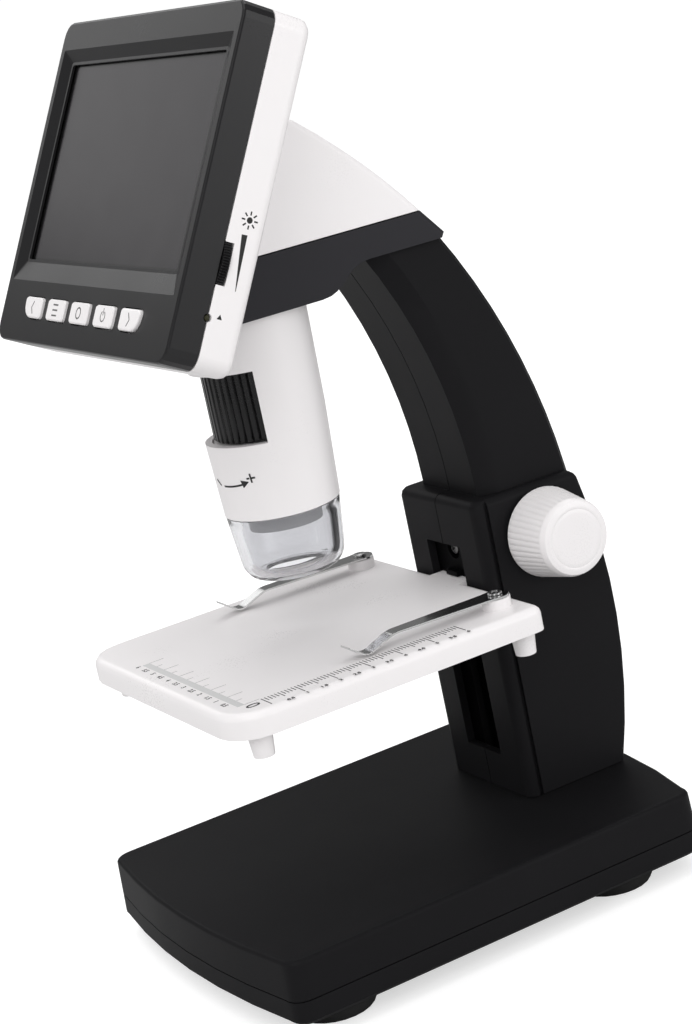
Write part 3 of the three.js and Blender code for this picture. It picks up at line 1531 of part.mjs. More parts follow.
// Hole for the reset pin, half in the bezel and half in the rear shell.
function resetHole() {
  return layInSide(turned(rod(resetRadius + seatGap, -bezelWall - cutOver, cutOver), pinSides));
}

const usbBackZ = -mainBoardDepth - boardThick - seatGap - usbHigh;

function lcdPanel() {
  const outline = roundedBox(...glassBox(lcdMargin), lcdRim, 2);
  return planProfile(shapeOf(outline), [-lcdDepth - lcdThick, -lcdDepth]);
}

function mainBoard() {
  const x = [-mainBoardHalf, mainBoardHalf];
  return box(x, [mainBoardBottom, mainBoardTop], [-mainBoardDepth - boardThick, -mainBoardDepth]);
}

function battery() {
  const x = [-batteryWide / 2, batteryWide / 2];
  const y = [batteryRow - batteryHigh / 2, batteryRow + batteryHigh / 2];
  const low = rearInnerZ + seatGap;
  return planProfile(shapeOf(roundedBox(x, y, batteryThick / 2, 3)), [low, low + batteryThick]);
}

function buttonBoard() {
  const board = box(
    [-buttonBoardHalf, buttonBoardHalf],
    [buttonRow - buttonBoardHigh / 2, buttonRow + buttonBoardHigh / 2],
    [-buttonBoardDepth - boardThick, -buttonBoardDepth],
  );
  const switches = buttonNames.map((name, index) => {
    const middle = buttonX(index);
    return box(
      [middle - switchHalf, middle + switchHalf],
      [buttonRow - switchHalf, buttonRow + switchHalf],
      [-buttonBoardDepth - boardThick / 2, -buttonBoardDepth + switchHigh],
    );
  });
  return join(board, ...switches);
}

function button(index) {
  const edgeRing = (z, inset) => atHeight(buttonOutline(index, -inset), z);
  const backZ = buttonProud - buttonDeep;
  const cap = loft([
    edgeRing(backZ, 0),
    edgeRing(buttonProud - buttonEdge, 0),
    edgeRing(buttonProud, buttonEdge),
  ]);
  const flangeTop = -bezelFront - seatGap;
  const flange = shapeOf(buttonOutline(index, buttonFlange));
  return join(cap, planProfile(flange, [flangeTop - buttonFlangeThick, flangeTop]));
}

const dimmerPlace = [displayHalfWidth + dimmerProud - dimmerRadius, dimmerRow];

function brightnessWheel() {
  const low = -dimmerFront - dimmerThick;
  const body = loft([low, -dimmerFront].map((z) => ribRing(dimmerRadius, z, dimmerRibs, dimmerRibDeep)));
  const bored = cut(body, turned(rod(dimmerBore, low - cutOver, -dimmerFront + cutOver), pinSides));
  return solid(geometryOf(bored).translate(...dimmerPlace, 0));
}

// The turning resistor that carries the brightness wheel.
function dimmer() {
  const [x, y] = dimmerPlace;
  const top = -dimmerFront - dimmerThick - seatGap;
  const body = box(
    [x - dimmerBodyHalf, x + dimmerBodyHalf],
    [y - dimmerBodyHalf, y + dimmerBodyHalf],
    [rearInnerZ + seatGap, top],
  );
  return join(body, turned(rod(dimmerHubRadius, top - seatGap, -dimmerFront), postSides, dimmerPlace));
}

function resetButton() {
  return layInSide(turned(rod(resetRadius, -resetLength, -seatGap), pinSides));
}

function usbSocket() {
  const x = [-displayHalfWidth + seatGap, -displayHalfWidth + seatGap + usbLong];
  const y = [usbRow - usbHalfWidth, usbRow + usbHalfWidth];
  const z = [usbBackZ, usbBackZ + usbHigh];
  const mouth = box(
    [x[0] - cutOver, x[1] - usbSkin],
    [y[0] + usbSkin, y[1] - usbSkin],
    [z[0] + usbSkin, z[1] - usbSkin],
  );
  const middle = (z[0] + z[1]) / 2;
  const tongue = box(
    [x[0] + usbTongue, x[1] - usbSkin / 2],
    [y[0] + usbTongue + usbSkin, y[1] - usbTongue - usbSkin],
    [middle - usbTongue / 2, middle + usbTongue / 2],
  );
  return join(cut(box(x, y, z), mouth), tongue);
}

// A screw in the display, its head at the back of the shank or in front of it.
function displayScrew(place, headFaceZ, side) {
  const head = [headFaceZ, headFaceZ + side * screwHeadHigh].sort((a, b) => a - b);
  const shank = [headFaceZ - side * screwLong, headFaceZ + (side * screwHeadHigh) / 2].sort((a, b) => a - b);
  return join(
    turned(rod(screwHeadRadius, ...head), headSides, place),
    turned(rod(screwRadius, ...shank), shankSides, place),
  );
}

add(display, 'display_bezel', bezel(), bezelGrey);
add(display, 'display_rear_shell', rearShell(), white);
add(display, 'lcd_panel', lcdPanel(), glass);
add(display, 'main_board', mainBoard(), boardGreen);
add(display, 'battery', battery(), steel);
add(display, 'button_board', buttonBoard(), boardGreen);
buttonNames.forEach((name, index) => add(display, `button_${name}`, button(index), white));
add(display, 'brightness_wheel', brightnessWheel(), black);
add(display, 'dimmer', dimmer(), black);
add(display, 'reset_button', resetButton(), black);
add(display, 'usb_socket', usbSocket(), steel);
for (const [side, x] of [['left', -1], ['right', 1]]) {
  const headPlace = [x * displayScrewX, displayScrewRow];
  const casePlace = [x * caseScrewX, caseScrewRow];
  add(display, `display_screw_${side}`, displayScrew(headPlace, rearInnerZ + seatGap, 1), steel);
  add(display, `case_screw_${side}`, displayScrew(casePlace, caseHeadZ - seatGap, -1), steel);
}

export default group;
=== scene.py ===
# %% [markdown]
# # A desk microscope with a tilted screen
#
# The solid model brings every piece of the microscope at its true size and place. This lesson
# gives the pieces their finishes, remakes the few whose small shapes carry the look, such as the
# ribbed knob and the clear cap, and adds the printed rulers and symbols. All lengths in Blender
# are metres, so sizes are written in millimetres times MM.

# %% Load the solid model
import json
import math

import bmesh
import bpy
from mathutils import Matrix, Vector


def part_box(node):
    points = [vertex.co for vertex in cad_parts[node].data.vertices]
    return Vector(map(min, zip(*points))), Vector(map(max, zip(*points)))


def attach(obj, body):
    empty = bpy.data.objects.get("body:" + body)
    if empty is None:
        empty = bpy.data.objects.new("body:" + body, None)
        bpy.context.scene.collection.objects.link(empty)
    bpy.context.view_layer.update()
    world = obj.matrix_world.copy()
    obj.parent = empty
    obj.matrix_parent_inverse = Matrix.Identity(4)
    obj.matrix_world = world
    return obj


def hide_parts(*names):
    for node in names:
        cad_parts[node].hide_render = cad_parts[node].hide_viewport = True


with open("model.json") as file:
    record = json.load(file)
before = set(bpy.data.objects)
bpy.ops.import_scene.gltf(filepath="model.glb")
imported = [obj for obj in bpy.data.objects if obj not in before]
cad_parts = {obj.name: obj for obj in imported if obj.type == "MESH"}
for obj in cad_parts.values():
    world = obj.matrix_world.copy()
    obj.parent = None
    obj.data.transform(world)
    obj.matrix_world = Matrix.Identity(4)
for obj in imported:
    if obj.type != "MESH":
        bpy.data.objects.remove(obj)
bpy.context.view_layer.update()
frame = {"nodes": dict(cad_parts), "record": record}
MM = 0.001
scene = bpy.context.scene

# %% [markdown]
# ## Camera
#
# The rulers on the stage are in true centimetres, so they fix where the photograph's camera
# stood. A camera could be aimed with a constraint, but its place and its three angles are known,
# so they are written down: how far it stands round from the front, how steeply it looks down and
# its roll.

# %% Place the camera
CAMERA_PLACE = (0.5817, -0.2855, 0.2823)
ROUND_FROM_FRONT, LOOKS_DOWN, ROLL = 63.5285, 14.2432, -12.0273
FOCAL_LENGTH = 83.78
SENSOR_HIGH = 36

lens = bpy.data.cameras.new("camera")
lens.sensor_fit = "VERTICAL"
lens.sensor_height = SENSOR_HIGH
lens.lens = FOCAL_LENGTH
camera = bpy.data.objects.new("camera", lens)
heading = Matrix.Rotation(math.radians(ROUND_FROM_FRONT), 4, "Z")
tilt = Matrix.Rotation(math.radians(90 - LOOKS_DOWN), 4, "X")
roll = Matrix.Rotation(math.radians(ROLL), 4, "Z")
camera.matrix_world = Matrix.Translation(CAMERA_PLACE) @ heading @ tilt @ roll
scene.collection.objects.link(camera)
scene.camera = camera
print("camera at", [round(value, 3) for value in camera.location])

# %% [markdown]
# ## Shader maths in Python
#
# A finish is a tree of nodes. Clicking them together is slow to read back, so they are written as
# sums. A Wire is one socket: it knows + - * < > and abs, and each of them adds a Math node.

# %% Wires
class Wire:
    """One output socket. An expression on wires adds its Math nodes."""

    def __init__(self, nodes, socket):
        self.nodes = nodes
        self.socket = socket

    def math(self, operation, first, second):
        return self.nodes.make("Math", {0: first, 1: second}, operation=operation)

    def __add__(self, other):
        return self.math("ADD", self, other)

    def __radd__(self, other):
        return self.math("ADD", other, self)

    def __sub__(self, other):
        return self.math("SUBTRACT", self, other)

    def __rsub__(self, other):
        return self.math("SUBTRACT", other, self)

    def __mul__(self, other):
        return self.math("MULTIPLY", self, other)

    def __rmul__(self, other):
        return self.math("MULTIPLY", other, self)

    def __lt__(self, other):
        return self.math("LESS_THAN", self, other)

    def __gt__(self, other):
        return self.math("GREATER_THAN", self, other)

    def __abs__(self):
        return self.nodes.make("Math", {0: self}, operation="ABSOLUTE")


print("wires ready")

# %% [markdown]
# ## Trees of nodes
#
# Nodes adds any node from its type, its settings and what goes into its sockets. A socket is
# called by its name, or by its number where a node has several of one name. A Mix node has a set
# for each kind of data, and the numbers below are its colour sockets.

# %% Node trees
MIX_SHARE, MIX_FIRST, MIX_SECOND, MIXED = 0, 6, 7, 2


class Nodes:
    """The node tree of one material, light or world."""

    def __init__(self, owner):
        owner.use_nodes = True
        self.owner = owner
        self.tree = owner.node_tree
        self.tree.nodes.clear()

    def make(self, kind, inputs=None, output=0, **settings):
        """Adds one node and returns one of its outputs; outputs without a name count from 0."""
        node = self.tree.nodes.new("ShaderNode" + kind)
        for name, value in settings.items():
            setattr(node, name, value)
        for name, value in (inputs or {}).items():
            if isinstance(value, Wire):
                self.tree.links.new(value.socket, node.inputs[name])
            else:
                node.inputs[name].default_value = value
        return Wire(self, node.outputs[output]) if node.outputs else None

    def place(self, **mapping):
        """Object coordinates, turned and moved by a Mapping node."""
        points = self.make("TexCoord", output="Object")
        return self.make("Mapping", {"Vector": points, **mapping}, vector_type="TEXTURE")

    def noise(self, size, detail=2.0, **mapping):
        """A noise value whose lumps are about this size, in metres."""
        inputs = {"Vector": self.place(**mapping), "Scale": 1 / size, "Detail": detail}
        return self.make("TexNoise", inputs)

    def blend(self, share, first, second):
        """Goes from the first colour to the second as share goes from 0 to 1."""
        first, second = (colour if isinstance(colour, Wire) else (*colour, 1)
                         for colour in (first, second))
        inputs = {MIX_SHARE: share, MIX_FIRST: first, MIX_SECOND: second}
        return self.make("Mix", inputs, output=MIXED, data_type="RGBA")

    def bump(self, height, depth):
        """A normal from a height wire, where 1 is depth metres."""
        return self.make("Bump", {"Height": height, "Strength": 1.0, "Distance": depth})

    def surface(self, **sockets):
        """Ends the tree with one Principled shader."""
        named = {name.replace("_", " "): value for name, value in sockets.items()}
        shader = self.make("BsdfPrincipled", named)
        self.make("OutputMaterial", {"Surface": shader})
        return self.owner


def new_material(name):
    return Nodes(bpy.data.materials.new(name))


print("node helpers ready")

# %% [markdown]
# ## Moulded plastics
#
# The stand and base are near-black with a fine spark-eroded grain, on which a few specks of dust
# always lie. The screen's bezel is a smoother dark grey, and the white covers are satin. One
# function makes them all: a fine noise is the grain and goes into the bump, a broad one makes the
# mould's slow changes of colour and sheen, and a Voronoi pattern picks the dust. One flat colour
# would be simpler, but it looks like a drawing as soon as the camera comes close.

# %% Plastic helper
DUST = (0.35, 0.35, 0.34)
DUST_APART = 9 * MM
SPECK_RADIUS = 0.011  # as a share of DUST_APART
CLEAN_SHARE = 0.55


def dusted(nodes, colour, share):
    """Adds pale specks: one in the middle of each Voronoi cell that isn't in the clean share."""
    cells = {"Vector": nodes.place(), "Scale": 1 / DUST_APART}
    near = nodes.make("TexVoronoi", cells)
    cell_colour = nodes.make("TexVoronoi", cells, output="Color")
    chosen = nodes.make("SeparateColor", {"Color": cell_colour})
    speck = (near < SPECK_RADIUS) * (chosen > CLEAN_SHARE)
    return nodes.blend(speck * share, colour, DUST)


def moulded(name, dark, light, rough, grain, grain_depth, dust, specular):
    nodes = new_material(name)
    broad = nodes.noise(35 * MM)
    fine = nodes.noise(grain, detail=3.0)
    colour = nodes.blend(broad, dark, light)
    if dust:
        colour = dusted(nodes, colour, dust)
    return nodes.surface(
        Base_Color=colour,
        Roughness=rough + (broad - 0.5) * 0.12 + (fine - 0.5) * 0.08,
        Specular_IOR_Level=specular,
        Normal=nodes.bump(fine, grain_depth),
    )


print("plastic helper ready")

# %% [markdown]
# ## One plastic for each look
#
# Three plastics serve whole groups of pieces. The head's housing is a shade paler than the stand,
# the lens barrel in the cap is pale and the reset pin is dark olive, so these have finishes of
# their own. The slider in the column's slot has one too: it is painted blackest of all, as
# painted shade of the deep slot. Ribbed wheels are smoother, so that the ribs shine.

# %% Plastic finishes
finishes = {
    "black_plastic": moulded(
        "black_plastic", (0.0085, 0.0083, 0.0092), (0.0113, 0.011, 0.0122),
        rough=0.48, grain=0.35 * MM, grain_depth=0.012 * MM, dust=0.8, specular=0.07,
    ),
    "bezel_plastic": moulded(
        "bezel_plastic", (0.0115, 0.0112, 0.0122), (0.0145, 0.0142, 0.0154),
        rough=0.3, grain=0.25 * MM, grain_depth=0.002 * MM, dust=0.3, specular=0.32,
    ),
    "white_plastic": moulded(
        "white_plastic", (0.855, 0.83, 0.835), (0.885, 0.862, 0.866),
        rough=0.3, grain=0.5 * MM, grain_depth=0.003 * MM, dust=0, specular=0.4,
    ),
}
own_finishes = {
    "head_housing": moulded(
        "housing_plastic", (0.0225, 0.022, 0.0255), (0.0265, 0.026, 0.03),
        rough=0.42, grain=0.3 * MM, grain_depth=0.006 * MM, dust=0.6, specular=0.12,
    ),
    "lens_barrel": moulded(
        "barrel_plastic", (0.5, 0.5, 0.51), (0.56, 0.56, 0.57),
        rough=0.4, grain=0.3 * MM, grain_depth=0.003 * MM, dust=0, specular=0.3,
    ),
    # Painted shade: the slider is made blacker than the stand to stand for the dark of the column's
    # slot.
    "rack_slider": moulded(
        "slider_plastic_painted_shade", (0.003, 0.003, 0.0034), (0.0045, 0.0045, 0.005),
        rough=0.55, grain=0.35 * MM, grain_depth=0.008 * MM, dust=0, specular=0.04,
    ),
    "reset_button": moulded(
        "pin_plastic", (0.022, 0.022, 0.006), (0.03, 0.03, 0.01),
        rough=0.4, grain=0.2 * MM, grain_depth=0.002 * MM, dust=0, specular=0.3,
    ),
}
rib_plastic = moulded(
    "rib_plastic", (0.008, 0.0078, 0.0085), (0.0115, 0.0113, 0.012),
    rough=0.26, grain=0.3 * MM, grain_depth=0.002 * MM, dust=0, specular=0.3,
)
print("plastics:", sorted(finishes), "and for single pieces:", sorted(own_finishes))

# %% [markdown]
# ## Screen
#
# The panel is glass over a dark grey display that is switched off. Round the picture area runs a
# black margin about 1.5 mm wide. It could be a frame of its own, but under one smooth glass it is
# only a change of colour, so the finish draws it. The screen leans back, so a Mapping node turns
# the coordinates into its plane before the margin is cut from them.

# %% Screen glass
LEAN = math.radians(28.1)
screen_origin = Vector((0, -34.6, 238.6)) * MM
picture_half = Vector((47.5, 27.0)) * MM
picture_middle = -11.7 * MM

nodes = new_material("screen_glass")
plane = nodes.place(Location=screen_origin, Rotation=(math.pi / 2 - LEAN, 0, 0))
across = nodes.make("SeparateXYZ", {"Vector": plane})
up = nodes.make("SeparateXYZ", {"Vector": plane}, output="Y")
picture = (abs(across) < picture_half.x) * (abs(up - picture_middle) < picture_half.y)
finishes["screen_glass"] = nodes.surface(
    Base_Color=nodes.blend(picture, (0.004, 0.004, 0.004), (0.016, 0.0135, 0.0165)),
    Roughness=0.2 + nodes.noise(12 * MM) * 0.05,
    Specular_IOR_Level=0.34,
)
print("screen's picture area", [round(2 * half / MM, 1) for half in picture_half], "mm")

# %% [markdown]
# ## Metals
#
# Screws, clips and brackets are plated or polished steel, the pinion is brass and the ballast is
# a raw plate. The screw deep in the column's slot is painted dark grey: painted shade of the slot.
# Steel is told from paint by Metallic 1 with streaks in its roughness: a noise that is stretched
# along one axis gives the brushing, and a broad one the stains of handling.

# %% Metal finishes
EVEN, ALONG_X, ALONG_Y = (1, 1, 1), (20, 1, 1), (1, 40, 1)


def grey(level):
    return (level, level, level)


def metal(name, dark, light, rough, streak, depth):
    """Streak is how far the brushing is drawn out along x, y and z."""
    nodes = new_material(name)
    lines = nodes.noise(0.2 * MM, detail=3.0, Scale=streak)
    stain = nodes.noise(4 * MM)
    return nodes.surface(
        Base_Color=nodes.blend(stain, dark, light),
        Metallic=1.0,
        Roughness=rough + (lines - 0.5) * 0.1 + (stain - 0.5) * 0.06,
        Normal=nodes.bump(lines, depth),
    )


finishes["steel"] = metal("steel", grey(0.52), grey(0.62), 0.26, EVEN, 0.002 * MM)
finishes["spring_steel"] = metal("spring_steel", grey(0.6), grey(0.68), 0.14, ALONG_Y, 0.001 * MM)
finishes["brass"] = metal(
    "brass", (0.5, 0.34, 0.12), (0.58, 0.42, 0.17), 0.3, ALONG_X, 0.002 * MM,
)
finishes["ballast"] = metal("ballast", grey(0.16), grey(0.24), 0.6, EVEN, 0.02 * MM)
# Painted shade: the slot screw's steel is dark grey for the shade deep in the column's slot.
slot_steel_painted_shade = metal("slot_steel_painted_shade", grey(0.12), grey(0.2), 0.35, EVEN, 0.002 * MM)
print("metals added,", len(finishes), "finishes so far")

# %% [markdown]
# ## Clear parts
#
# The cap under the tube is a thick clear moulding, and the objective is coated glass. Alpha
# would only thin their colour. Transmission bends the light too, which draws the lines along the
# cap's edges. Their colour tints that light, a cool grey for the cap, and a broad noise makes it
# faintly uneven.

# %% Clear plastic and lens glass
nodes = new_material("clear_plastic")
cloud = nodes.noise(7 * MM)
finishes["clear_plastic"] = nodes.surface(
    Base_Color=nodes.blend(cloud, (0.67, 0.672, 0.69), (0.73, 0.73, 0.75)),
    Roughness=cloud * 0.02,
    IOR=1.49,
    Transmission_Weight=0.96,
)

nodes = new_material("lens_glass")
coating = nodes.noise(5 * MM)
finishes["lens_glass"] = nodes.surface(
    Base_Color=nodes.blend(coating, (0.7, 0.78, 0.85), (0.8, 0.76, 0.86)),
    Roughness=0.03 + coating * 0.02,
    IOR=1.52,
    Transmission_Weight=0.9,
)
print("clear finishes added")

# %% [markdown]
# ## Rubber, boards, foil and film
#
# These hide inside or underneath, but a part that is opened or turned over shows them. Boards
# carry tracks, and modelled ones would cost many faces, so a Brick pattern suggests them. The
# battery's foil is crinkled by a noise.

# %% Hidden finishes
nodes = new_material("foot_rubber")
crumb = nodes.noise(0.6 * MM, detail=4.0)
finishes["foot_rubber"] = nodes.surface(
    Base_Color=nodes.blend(crumb, grey(0.012), grey(0.022)),
    Roughness=0.75 + (crumb - 0.5) * 0.2,
    Specular_IOR_Level=0.25,
    Normal=nodes.bump(crumb, 0.03 * MM),
)

nodes = new_material("circuit_board")
bricks = {"Vector": nodes.place(), "Scale": 1 / (3 * MM), "Mortar Size": 0.06}
tracks = nodes.make("TexBrick", bricks, output="Fac")
finishes["circuit_board"] = nodes.surface(
    Base_Color=nodes.blend(tracks, (0.012, 0.1, 0.04), (0.03, 0.19, 0.08)),
    Roughness=0.42 - tracks * 0.12,
    Normal=nodes.bump(tracks, 0.02 * MM),
)

nodes = new_material("battery_foil")
crinkle = nodes.noise(3 * MM, detail=5.0)
finishes["battery_foil"] = nodes.surface(
    Base_Color=nodes.blend(crinkle, grey(0.42), grey(0.55)),
    Metallic=1.0,
    Roughness=0.35 + crinkle * 0.15,
    Normal=nodes.bump(crinkle, 0.08 * MM),
)

nodes = new_material("cable_film")
waves = {"Vector": nodes.place(), "Scale": 1 / (2.5 * MM)}
wires = nodes.make("TexWave", waves, output="Fac")
finishes["cable_film"] = nodes.surface(
    Base_Color=nodes.blend(wires, (0.62, 0.58, 0.46), (0.74, 0.72, 0.64)),
    Roughness=0.4 + wires * 0.1,
)

# %% [markdown]
# ## Ink
#
# The rulers and symbols are pad-printed: dark ink with a slightly uneven density. They could be
# masks in the plastic's own nodes, but pieces of ink have sharper edges and move with their part.

# %% Ink finishes
def ink(name, dark, light):
    nodes = new_material(name)
    density = nodes.noise(0.5 * MM)
    colour = nodes.blend(density, dark, light)
    return nodes.surface(Base_Color=colour, Roughness=0.5 + density * 0.1)


black_ink = ink("black_ink", grey(0.006), grey(0.014))
grey_ink = ink("grey_ink", grey(0.26), grey(0.34))
pale_ink = ink("pale_ink", grey(0.56), grey(0.62))
symbol_ink = ink("symbol_ink", grey(0.08), grey(0.13))
print("inks:", black_ink.name, grey_ink.name, pale_ink.name, symbol_ink.name)

# %% [markdown]
# ## Dress the solid pieces
#
# A moulded edge is never knife-sharp: it catches a thin line of light. The loaded meshes are
# loose triangles, so each piece gets a Weld, a planar Decimate that joins the flat faces again,
# and a small Bevel on the edges that are left. Weighted Normal then shades flat faces flat.
# The screen's frame has crisp edges and many windows, so it gets an Edge Split in place of the
# bevel, and the base's cover has a finer one, because its seam hardly shows. These are modifiers,
# so the solid model under them stays as it is.

# %% Finishes and soft edges for every piece
SHARP_OVER = 32
EDGES = {  # width in millimetres, and the angle in degrees over which an edge counts as sharp
    "black_plastic": (0.35, SHARP_OVER), "white_plastic": (0.3, SHARP_OVER),
    "foot_rubber": (0.4, SHARP_OVER), "steel": (0.12, SHARP_OVER),
    "spring_steel": (0.1, SHARP_OVER), "bezel_plastic": (0, 9),
}
TIGHT_SEAM = (0.08, SHARP_OVER)
NO_BEVEL = (0, SHARP_OVER)


def soften(piece, width, angle):
    """Bevels a solid's sharp edges, or only parts them where the width is 0."""
    for polygon in piece.data.polygons:
        polygon.use_smooth = True
    weld = piece.modifiers.new("weld", "WELD")
    weld.merge_threshold = 0.002 * MM
    if width:
        flat = piece.modifiers.new("flat", "DECIMATE")
        flat.decimate_type = "DISSOLVE"
        flat.angle_limit = math.radians(0.6)
        bevel = piece.modifiers.new("bevel", "BEVEL")
        bevel.limit_method = "ANGLE"
        bevel.angle_limit = math.radians(angle)
        bevel.width = width
        bevel.segments = 2
        bevel.use_clamp_overlap = True
        bevel.miter_outer = "MITER_ARC"
    else:
        split = piece.modifiers.new("split", "EDGE_SPLIT")
        split.split_angle = math.radians(angle)
    weighted = piece.modifiers.new("weighted", "WEIGHTED_NORMAL")
    weighted.keep_sharp = True


for row in frame["record"]["subparts"]:
    piece = frame["nodes"][row["node"]]
    slot = row["material_slot"]
    piece.material_slots[0].material = own_finishes.get(row["node"], finishes[slot])
    width, angle = TIGHT_SEAM if row["node"] == "base_cover" else EDGES.get(slot, NO_BEVEL)
    soften(piece, width * MM, angle)

# %% [markdown]
# ## Turned pieces
#
# Knobs, wheels and the cap are bodies of revolution: a profile that is spun round an axis. The
# Spin operator of bmesh does that, with merging so the last copy closes on the first. Ribs come
# from pushing some of the copies inwards, which keeps the skin in one piece.

# %% Lathe and rib helpers
GROOVE_SIDE = 0.35  # how far the points beside a groove's middle go in, as a share of its depth


def lathe(profile, steps, closed=False):
    """Spins a profile of (radius, height) in millimetres round Z; closed joins its two ends."""
    bm = bmesh.new()
    line = [bm.verts.new((radius * MM, 0, height * MM)) for radius, height in profile]
    pairs = list(zip(line, line[1:] + line[:1] if closed else line[1:]))
    edges = [bm.edges.new(pair) for pair in pairs]
    bmesh.ops.spin(
        bm, geom=line + edges, cent=(0, 0, 0), axis=(0, 0, 1), dvec=(0, 0, 0),
        angle=2 * math.pi, steps=steps, use_merge=True,
    )
    bmesh.ops.remove_doubles(bm, verts=bm.verts, dist=0.001 * MM)
    bmesh.ops.recalc_face_normals(bm, faces=bm.faces)
    return bm


def flute(bm, ribs, per_rib, depth, outside, low=-math.inf, high=math.inf):
    """Pushes grooves between the ribs, beyond a radius and between two heights in millimetres."""
    shares = {0: 1.0, 1: GROOVE_SIDE, per_rib - 1: GROOVE_SIDE}
    for vert in bm.verts:
        radius = math.hypot(vert.co.x, vert.co.y)
        if radius <= outside * MM or not low * MM < vert.co.z < high * MM:
            continue
        angle = math.atan2(vert.co.y, vert.co.x) % (2 * math.pi)
        phase = round(angle / (2 * math.pi) * ribs * per_rib) % per_rib
        vert.co.xy *= 1 - depth * MM * shares.get(phase, 0.0) / radius


def wheel_profile(hole, radius, low, high, edge):
    """The section of a wheel round a plain hole, with a small chamfer at both sides of its rim."""
    return [(hole, low), (radius - edge, low), (radius, low + edge), (radius, high - edge),
            (radius - edge, high), (hole, high)]


print("lathe ready")

# %% [markdown]
# ## Finishing a new piece
#
# A piece that is made here takes the place of a solid, so it says which one and rides on the same
# moving body. A print replaces nothing: it only rides.

# %% Piece helpers
def finish_piece(bm, name, body, finish, sharp=35, replaces=()):
    """Makes a mesh object from bm, with its finish, and lets it ride on a body."""
    mesh = bpy.data.meshes.new(name)
    bm.to_mesh(mesh)
    bm.free()
    mesh.shade_smooth()
    mesh.set_sharp_from_angle(angle=math.radians(sharp))
    piece = bpy.data.objects.new(name, mesh)
    scene.collection.objects.link(piece)
    mesh.materials.append(finish)
    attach(piece, body)
    if replaces:
        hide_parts(*replaces)
    print(f"{name}: {len(mesh.polygons)} faces on {body}")
    return piece


def round_edges(piece):
    """Softens a new piece's sharp edges with a fine bevel."""
    bevel = piece.modifiers.new("bevel", "BEVEL")
    bevel.limit_method = "ANGLE"
    bevel.angle_limit = math.radians(40)
    bevel.width = 0.1 * MM
    bevel.segments = 2


print("piece helpers ready")

# %% [markdown]
# ## Height knob
#
# A white knob that tapers to the front, with fine ribs, then a smooth band and a face with a
# shallow ring. A bump could draw the ribs, but on white plastic it is their real depth that gives
# them shade. The knob's axis lies along X, so the spun shape is turned from Z onto X.

# %% Height knob
knob_ribs, steps_per_rib = 44, 6
low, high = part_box("height_knob")
knob_rear = (high.z - low.z) / 2 / MM
knob_long = (high.x - low.x) / MM
knob_front = 10.8
bore, bore_deep = 2.8, 9.0
band_at = knob_long - 2.4  # the ribs end and the smooth band starts here
slope = (knob_rear - knob_front) / knob_long


def knob_radius(height):
    """The radius of the tapered side at a distance from the knob's rear, in millimetres."""
    return knob_rear - slope * height


profile = [
    (0.0, bore_deep), (bore, bore_deep), (bore, 0.0),
    (knob_rear - 0.5, 0.0), (knob_radius(0.15) - 0.12, 0.15),
    (knob_radius(0.5), 0.5), (knob_radius(1.2), 1.2), (knob_radius(band_at - 0.5), band_at - 0.5),
    (knob_radius(band_at), band_at), (knob_radius(band_at + 0.4), band_at + 0.4),
    (knob_radius(knob_long) - 0.1, knob_long - 0.9),
    (knob_radius(knob_long) - 0.45, knob_long - 0.4),
    (9.2, knob_long - 0.1), (8.5, knob_long - 0.02), (8.3, knob_long - 0.12),
    (8.1, knob_long - 0.02), (7.0, knob_long), (3.5, knob_long), (0.0, knob_long),
]
knob = lathe(profile, knob_ribs * steps_per_rib)
flute(knob, knob_ribs, steps_per_rib, depth=0.24, outside=10, low=0.4, high=band_at - 0.4)
knob_seat = Matrix.Translation((low.x, (low.y + high.y) / 2, (low.z + high.z) / 2))
knob.transform(knob_seat @ Matrix.Rotation(math.pi / 2, 4, "Y"))
finish_piece(knob, "ribbed_knob", "knob", finishes["white_plastic"], replaces=["height_knob"])

# %% [markdown]
# ## Focus wheel
#
# The black wheel that shows in the tube's window has 44 broad flat ribs. Eight steps to a rib
# leave room for a narrow groove with sloping sides. The wheel is hollow, because the lens barrel
# runs in it.

# %% Focus wheel
focus_ribs, steps_per_rib = 44, 8
low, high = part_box("focus_wheel")
wheel_radius = (high.x - low.x) / 2 / MM
tube_axis = Vector((0, (low.y + high.y) / 2, 0))
profile = wheel_profile(hole=11.2, radius=wheel_radius, low=low.z / MM, high=high.z / MM, edge=0.5)
wheel = lathe(profile, focus_ribs * steps_per_rib, closed=True)
flute(wheel, focus_ribs, steps_per_rib, depth=0.5, outside=13)
wheel.transform(Matrix.Translation(tube_axis))
piece = finish_piece(wheel, "ribbed_wheel", "focus_wheel", rib_plastic, replaces=["focus_wheel"])

# %% [markdown]
# ## Brightness wheel
#
# A thin thumb wheel in the side of the screen, with 96 fine ribs. It lies in the screen's own
# plane. The object could be turned, but a finished piece keeps its place in its mesh. So one
# matrix carries the screen's frame: x across, y up the glass and z out of it. The buttons' prints
# use it again.

# %% Brightness wheel
dimmer_ribs, steps_per_rib = 96, 4
screen_frame = Matrix.Translation(screen_origin) @ Matrix.Rotation(math.pi / 2 - LEAN, 4, "X")
low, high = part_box("brightness_wheel")
dimmer_radius = (high.x - low.x) / 2 / MM
dimmer_up = -35.2 * MM
profile = wheel_profile(hole=2.0, radius=dimmer_radius, low=-11.1, high=-8.9, edge=0.25)
dimmer = lathe(profile, dimmer_ribs * steps_per_rib, closed=True)
flute(dimmer, dimmer_ribs, steps_per_rib, depth=0.42, outside=8)
dimmer.transform(screen_frame @ Matrix.Translation((high.x - dimmer_radius * MM, dimmer_up, 0)))
piece = finish_piece(dimmer, "thumb_wheel", "brightness_wheel", rib_plastic,
                     replaces=["brightness_wheel"])

# %% [markdown]
# ## Clear cap
#
# The cap tapers downwards, bends in with a rounded foot and ends in an open mouth. It is one
# closed wall, with a spigot on top that slips into the tube. Solidify could give a thin skin its
# wall, but this wall changes in thickness, so both its sides are in the profile. It is made nearly
# 3 mm thick, because a thick clear wall mirrors the dark stand in a strip near its edge, as the
# real one does.

